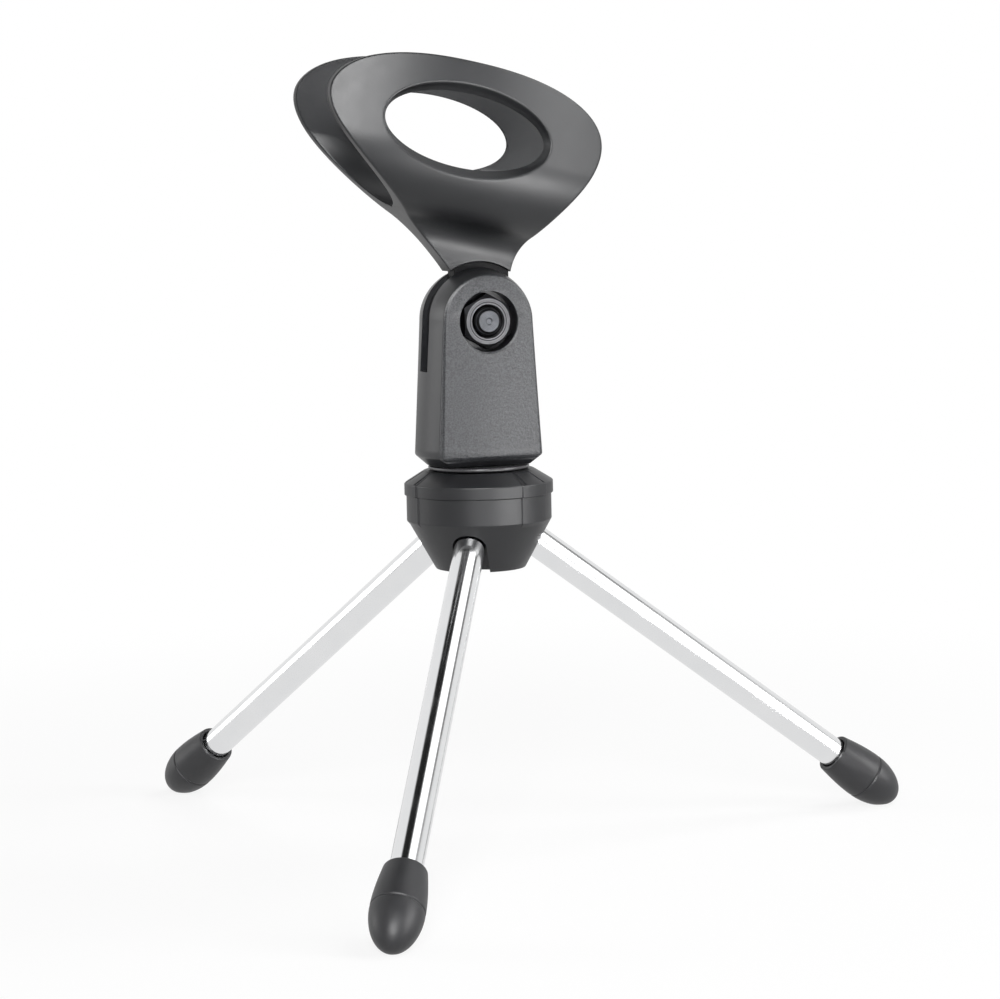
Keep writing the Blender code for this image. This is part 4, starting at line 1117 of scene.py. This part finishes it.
# the tongue carries painted shade: it is near-black to stand for the shadow between the ears
add(make_tongue(), "clip_tongue", "clip", "clip_plastic", TONGUE)

for node, paint in [("hub_screw", ZINC)] + [(f"leg_pin_{leg}", ZINC) for leg in LEG_NAMES]:
    kept = frame["nodes"][node]
    kept.data.materials.clear()
    kept.data.materials.append(paint)


# Stage, light and camera

FLOOR_SIZE = 4000.0
FLOOR_DROP = 0.05
FLOOR_GLOW = 0.84  # share of plain white that the camera sees near the stand, so that its shadow stays faint
SHADOW_ENDS = (0.12, 0.34)  # metres from the hub's axis within which the floor turns to plain white
MIRRORED_FLOOR = (0.86, 0.30)  # brightness in reflections, near and far
MIRRORED_FALL = (0.40, 1.20)
AMBIENT = 0.24

# What the bright plate and the satin plastics mirror: a level in front, one behind, and screens that darken a
# cone round a direction. A screen is the direction, the cosines where it starts and is full, and its level.
FRONT_LEVEL, BACK_LEVEL = 0.42, 0.90
FRONT_TO_BACK = (-0.35, 0.15)
SCREENS = (
    ((0.332, -0.930, 0.160), (0.940, 0.990), 0.45),
    ((-0.003, 0.186, 0.981), (0.925, 0.965), 0.02),
    ((0.816, 0.066, 0.573), (0.988, 0.997), 0.20),
    ((0.300, 0.450, 0.841), (0.900, 0.960), 0.12),
)
# The lamps as the finishes mirror them, soft-edged, each with its direction, cosines and brightness.
SOFT_BOXES = (
    ((-0.282, -0.869, 0.407), (0.935, 0.988), 18.0),
    ((0.779, -0.526, 0.342), (0.935, 0.985), 8.5),
    ((-0.860, 0.505, 0.070), (0.920, 0.980), 2.2),
    ((0.530, 0.060, 0.846), (0.930, 0.965), 1.2),
    ((0.500, -0.860, 0.100), (0.980, 0.995), 1.0),
)
TABLE_GLOW = (0.23, -0.49, 0.0)  # where the sheet in front mirrors brightest
TABLE_GLOW_REACH = (0.02, 0.38)
TABLE_GLOW_LEVEL = 22.0


class Studio:
    """Nodes of the floor's or the room's shader."""

    def __init__(self, tree):
        self.tree = tree
        tree.nodes.clear()

    def node(self, kind, settings=None, values=None):
        made = self.tree.nodes.new(kind)
        for key, value in (settings or {}).items():
            setattr(made, key, value)
        for key, value in (values or {}).items():
            if isinstance(value, bpy.types.NodeSocket):
                self.tree.links.new(value, made.inputs[key])
            else:
                made.inputs[key].default_value = value
        return made

    def maths(self, operation, a, b):
        return self.node("ShaderNodeMath", {"operation": operation}, {0: a, 1: b}).outputs[0]

    def vectors(self, operation, a, b):
        return self.node("ShaderNodeVectorMath", {"operation": operation}, {0: a, 1: b}).outputs["Value"]

    def smooth(self, value, low, high, start=0.0, end=1.0):
        ends = {"From Min": low, "From Max": high, "To Min": start, "To Max": end}
        values = {"Value": value, **ends}
        return self.node("ShaderNodeMapRange", {"interpolation_type": "SMOOTHSTEP"}, values).outputs["Result"]

    def blend(self, share, first, second):
        return self.node("ShaderNodeMixShader", None, {0: share, 1: first, 2: second}).outputs[0]


def make_floor():
    """A white sheet. Near the stand the camera sees part of its lighting, further off plain white, and nothing
    from below."""
    ends = np.linspace(-FLOOR_SIZE / 2, FLOOR_SIZE / 2, 2)
    x, y = np.meshgrid(ends, ends)
    floor = surface("floor", [(np.stack([x, y, np.full_like(x, -FLOOR_DROP)], axis=-1), False, False)])
    sheet = bpy.data.materials.new("floor_white")
    sheet.use_nodes = True
    studio = Studio(sheet.node_tree)
    rays = studio.node("ShaderNodeLightPath")
    place = studio.node("ShaderNodeTexCoord").outputs["Object"]
    away = studio.vectors("DISTANCE", place, (HUB_X * MM, 0.0, 0.0))
    white = (0.92, 0.92, 0.92, 1.0)
    paper = studio.node("ShaderNodeBsdfDiffuse", None, {"Color": white}).outputs[0]
    plain = studio.node("ShaderNodeEmission").outputs[0]
    near, far = MIRRORED_FLOOR
    level = studio.smooth(away, *MIRRORED_FALL, near, far)
    glow = studio.smooth(studio.vectors("DISTANCE", place, TABLE_GLOW), *TABLE_GLOW_REACH, TABLE_GLOW_LEVEL, 0.0)
    level = studio.maths("ADD", level, glow)
    mirrored = studio.node("ShaderNodeEmission", None, {"Strength": level}).outputs[0]
    whiteness = studio.smooth(away, *SHADOW_ENDS, FLOOR_GLOW, 1.0)
    seen = studio.maths("MULTIPLY", rays.outputs["Is Camera Ray"], whiteness)
    lit = studio.blend(rays.outputs["Is Glossy Ray"], studio.blend(seen, paper, plain), mirrored)
    clear = studio.node("ShaderNodeBsdfTransparent").outputs[0]
    back = studio.node("ShaderNodeNewGeometry").outputs["Backfacing"]
    shown = studio.blend(back, lit, clear)
    studio.node("ShaderNodeOutputMaterial", None, {"Surface": shown})
    floor.data.materials.append(sheet)


def make_room():
    """White to the camera, an even ambient for the lighting, and in reflections the screens and soft boxes."""
    world = bpy.data.worlds.new("studio")
    bpy.context.scene.world = world
    world.use_nodes = True
    studio = Studio(world.node_tree)
    rays = studio.node("ShaderNodeLightPath")
    towards = studio.node("ShaderNodeTexCoord").outputs["Generated"]
    y = studio.node("ShaderNodeSeparateXYZ", None, {0: towards}).outputs["Y"]
    level = studio.smooth(y, *FRONT_TO_BACK, FRONT_LEVEL, BACK_LEVEL)
    for direction, cosines, dark in SCREENS:
        near = studio.vectors("DOT_PRODUCT", towards, direction)
        level = studio.maths("MULTIPLY", level, studio.smooth(near, *cosines, 1.0, dark))
    for direction, cosines, bright in SOFT_BOXES:
        near = studio.vectors("DOT_PRODUCT", towards, direction)
        level = studio.maths("ADD", level, studio.smooth(near, *cosines, 0.0, bright))
    white = (1.0, 1.0, 1.0, 1.0)
    ambient = studio.node("ShaderNodeBackground", None, {"Color": white, "Strength": AMBIENT}).outputs[0]
    mirrored = studio.node("ShaderNodeBackground", None, {"Color": white, "Strength": level}).outputs[0]
    plain = studio.node("ShaderNodeBackground", None, {"Color": white}).outputs[0]
    lit = studio.blend(rays.outputs["Is Glossy Ray"], ambient, mirrored)
    shown = studio.blend(rays.outputs["Is Camera Ray"], lit, plain)
    studio.node("ShaderNodeOutputWorld", None, {"Surface": shown})


def area_light(name, place, size, power):
    """A lamp aimed at the stand. Reflections see the room's soft boxes in its stead."""
    light = bpy.data.lights.new(name, "AREA")
    light.shape = "RECTANGLE"
    light.size, light.size_y = size
    light.energy = power
    lamp = bpy.data.objects.new(name, light)
    lamp.location = place
    aim = Vector((HUB_X * MM, 0.0, 0.09)) - Vector(place)
    lamp.rotation_euler = aim.to_track_quat("-Z", "Y").to_euler()
    lamp.visible_glossy = False
    bpy.context.scene.collection.objects.link(lamp)


CAMERA_TARGET = np.array((-19.12, -1.45, 73.11))
CAMERA_DISTANCE = 656.2
CAMERA_TURN = math.radians(-19.5)
CAMERA_RISE = math.radians(6.28)
CAMERA_ROLL = math.radians(-1.2)
CAMERA_FOCAL = 3125.4 / 1000 * 36.0


def make_camera():
    sin, cos = math.sin(CAMERA_TURN), math.cos(CAMERA_TURN)
    back = np.array((sin * math.cos(CAMERA_RISE), -cos * math.cos(CAMERA_RISE), math.sin(CAMERA_RISE)))
    right = np.array((cos, sin, 0.0))
    up = np.cross(back, right)
    rolled_right = math.cos(CAMERA_ROLL) * right + math.sin(CAMERA_ROLL) * up
    rolled_up = math.cos(CAMERA_ROLL) * up - math.sin(CAMERA_ROLL) * right
    data = bpy.data.cameras.new("photograph")
    data.sensor_width = 36.0
    data.lens = CAMERA_FOCAL
    camera = bpy.data.objects.new("photograph", data)
    turn = Matrix(np.stack([rolled_right, rolled_up, back], axis=1).tolist()).to_4x4()
    spot = (CAMERA_TARGET + back * CAMERA_DISTANCE) * MM
    camera.matrix_world = Matrix.Translation(spot.tolist()) @ turn
    bpy.context.scene.collection.objects.link(camera)
    bpy.context.scene.camera = camera


make_floor()
make_room()
area_light("key_left", (-0.34, -0.82, 0.36), (0.26, 0.55), 7.0)
area_light("fill_right", (0.74, -0.52, 0.30), (0.28, 0.55), 5.0)
area_light("rim_left", (-0.82, 0.46, 0.16), (0.30, 0.40), 3.0)
area_light("top_right", (0.52, 0.08, 0.85), (0.45, 0.35), 3.0)
make_camera()
bpy.context.scene.view_settings.view_transform = "Standard"

bpy.context.view_layer.update()
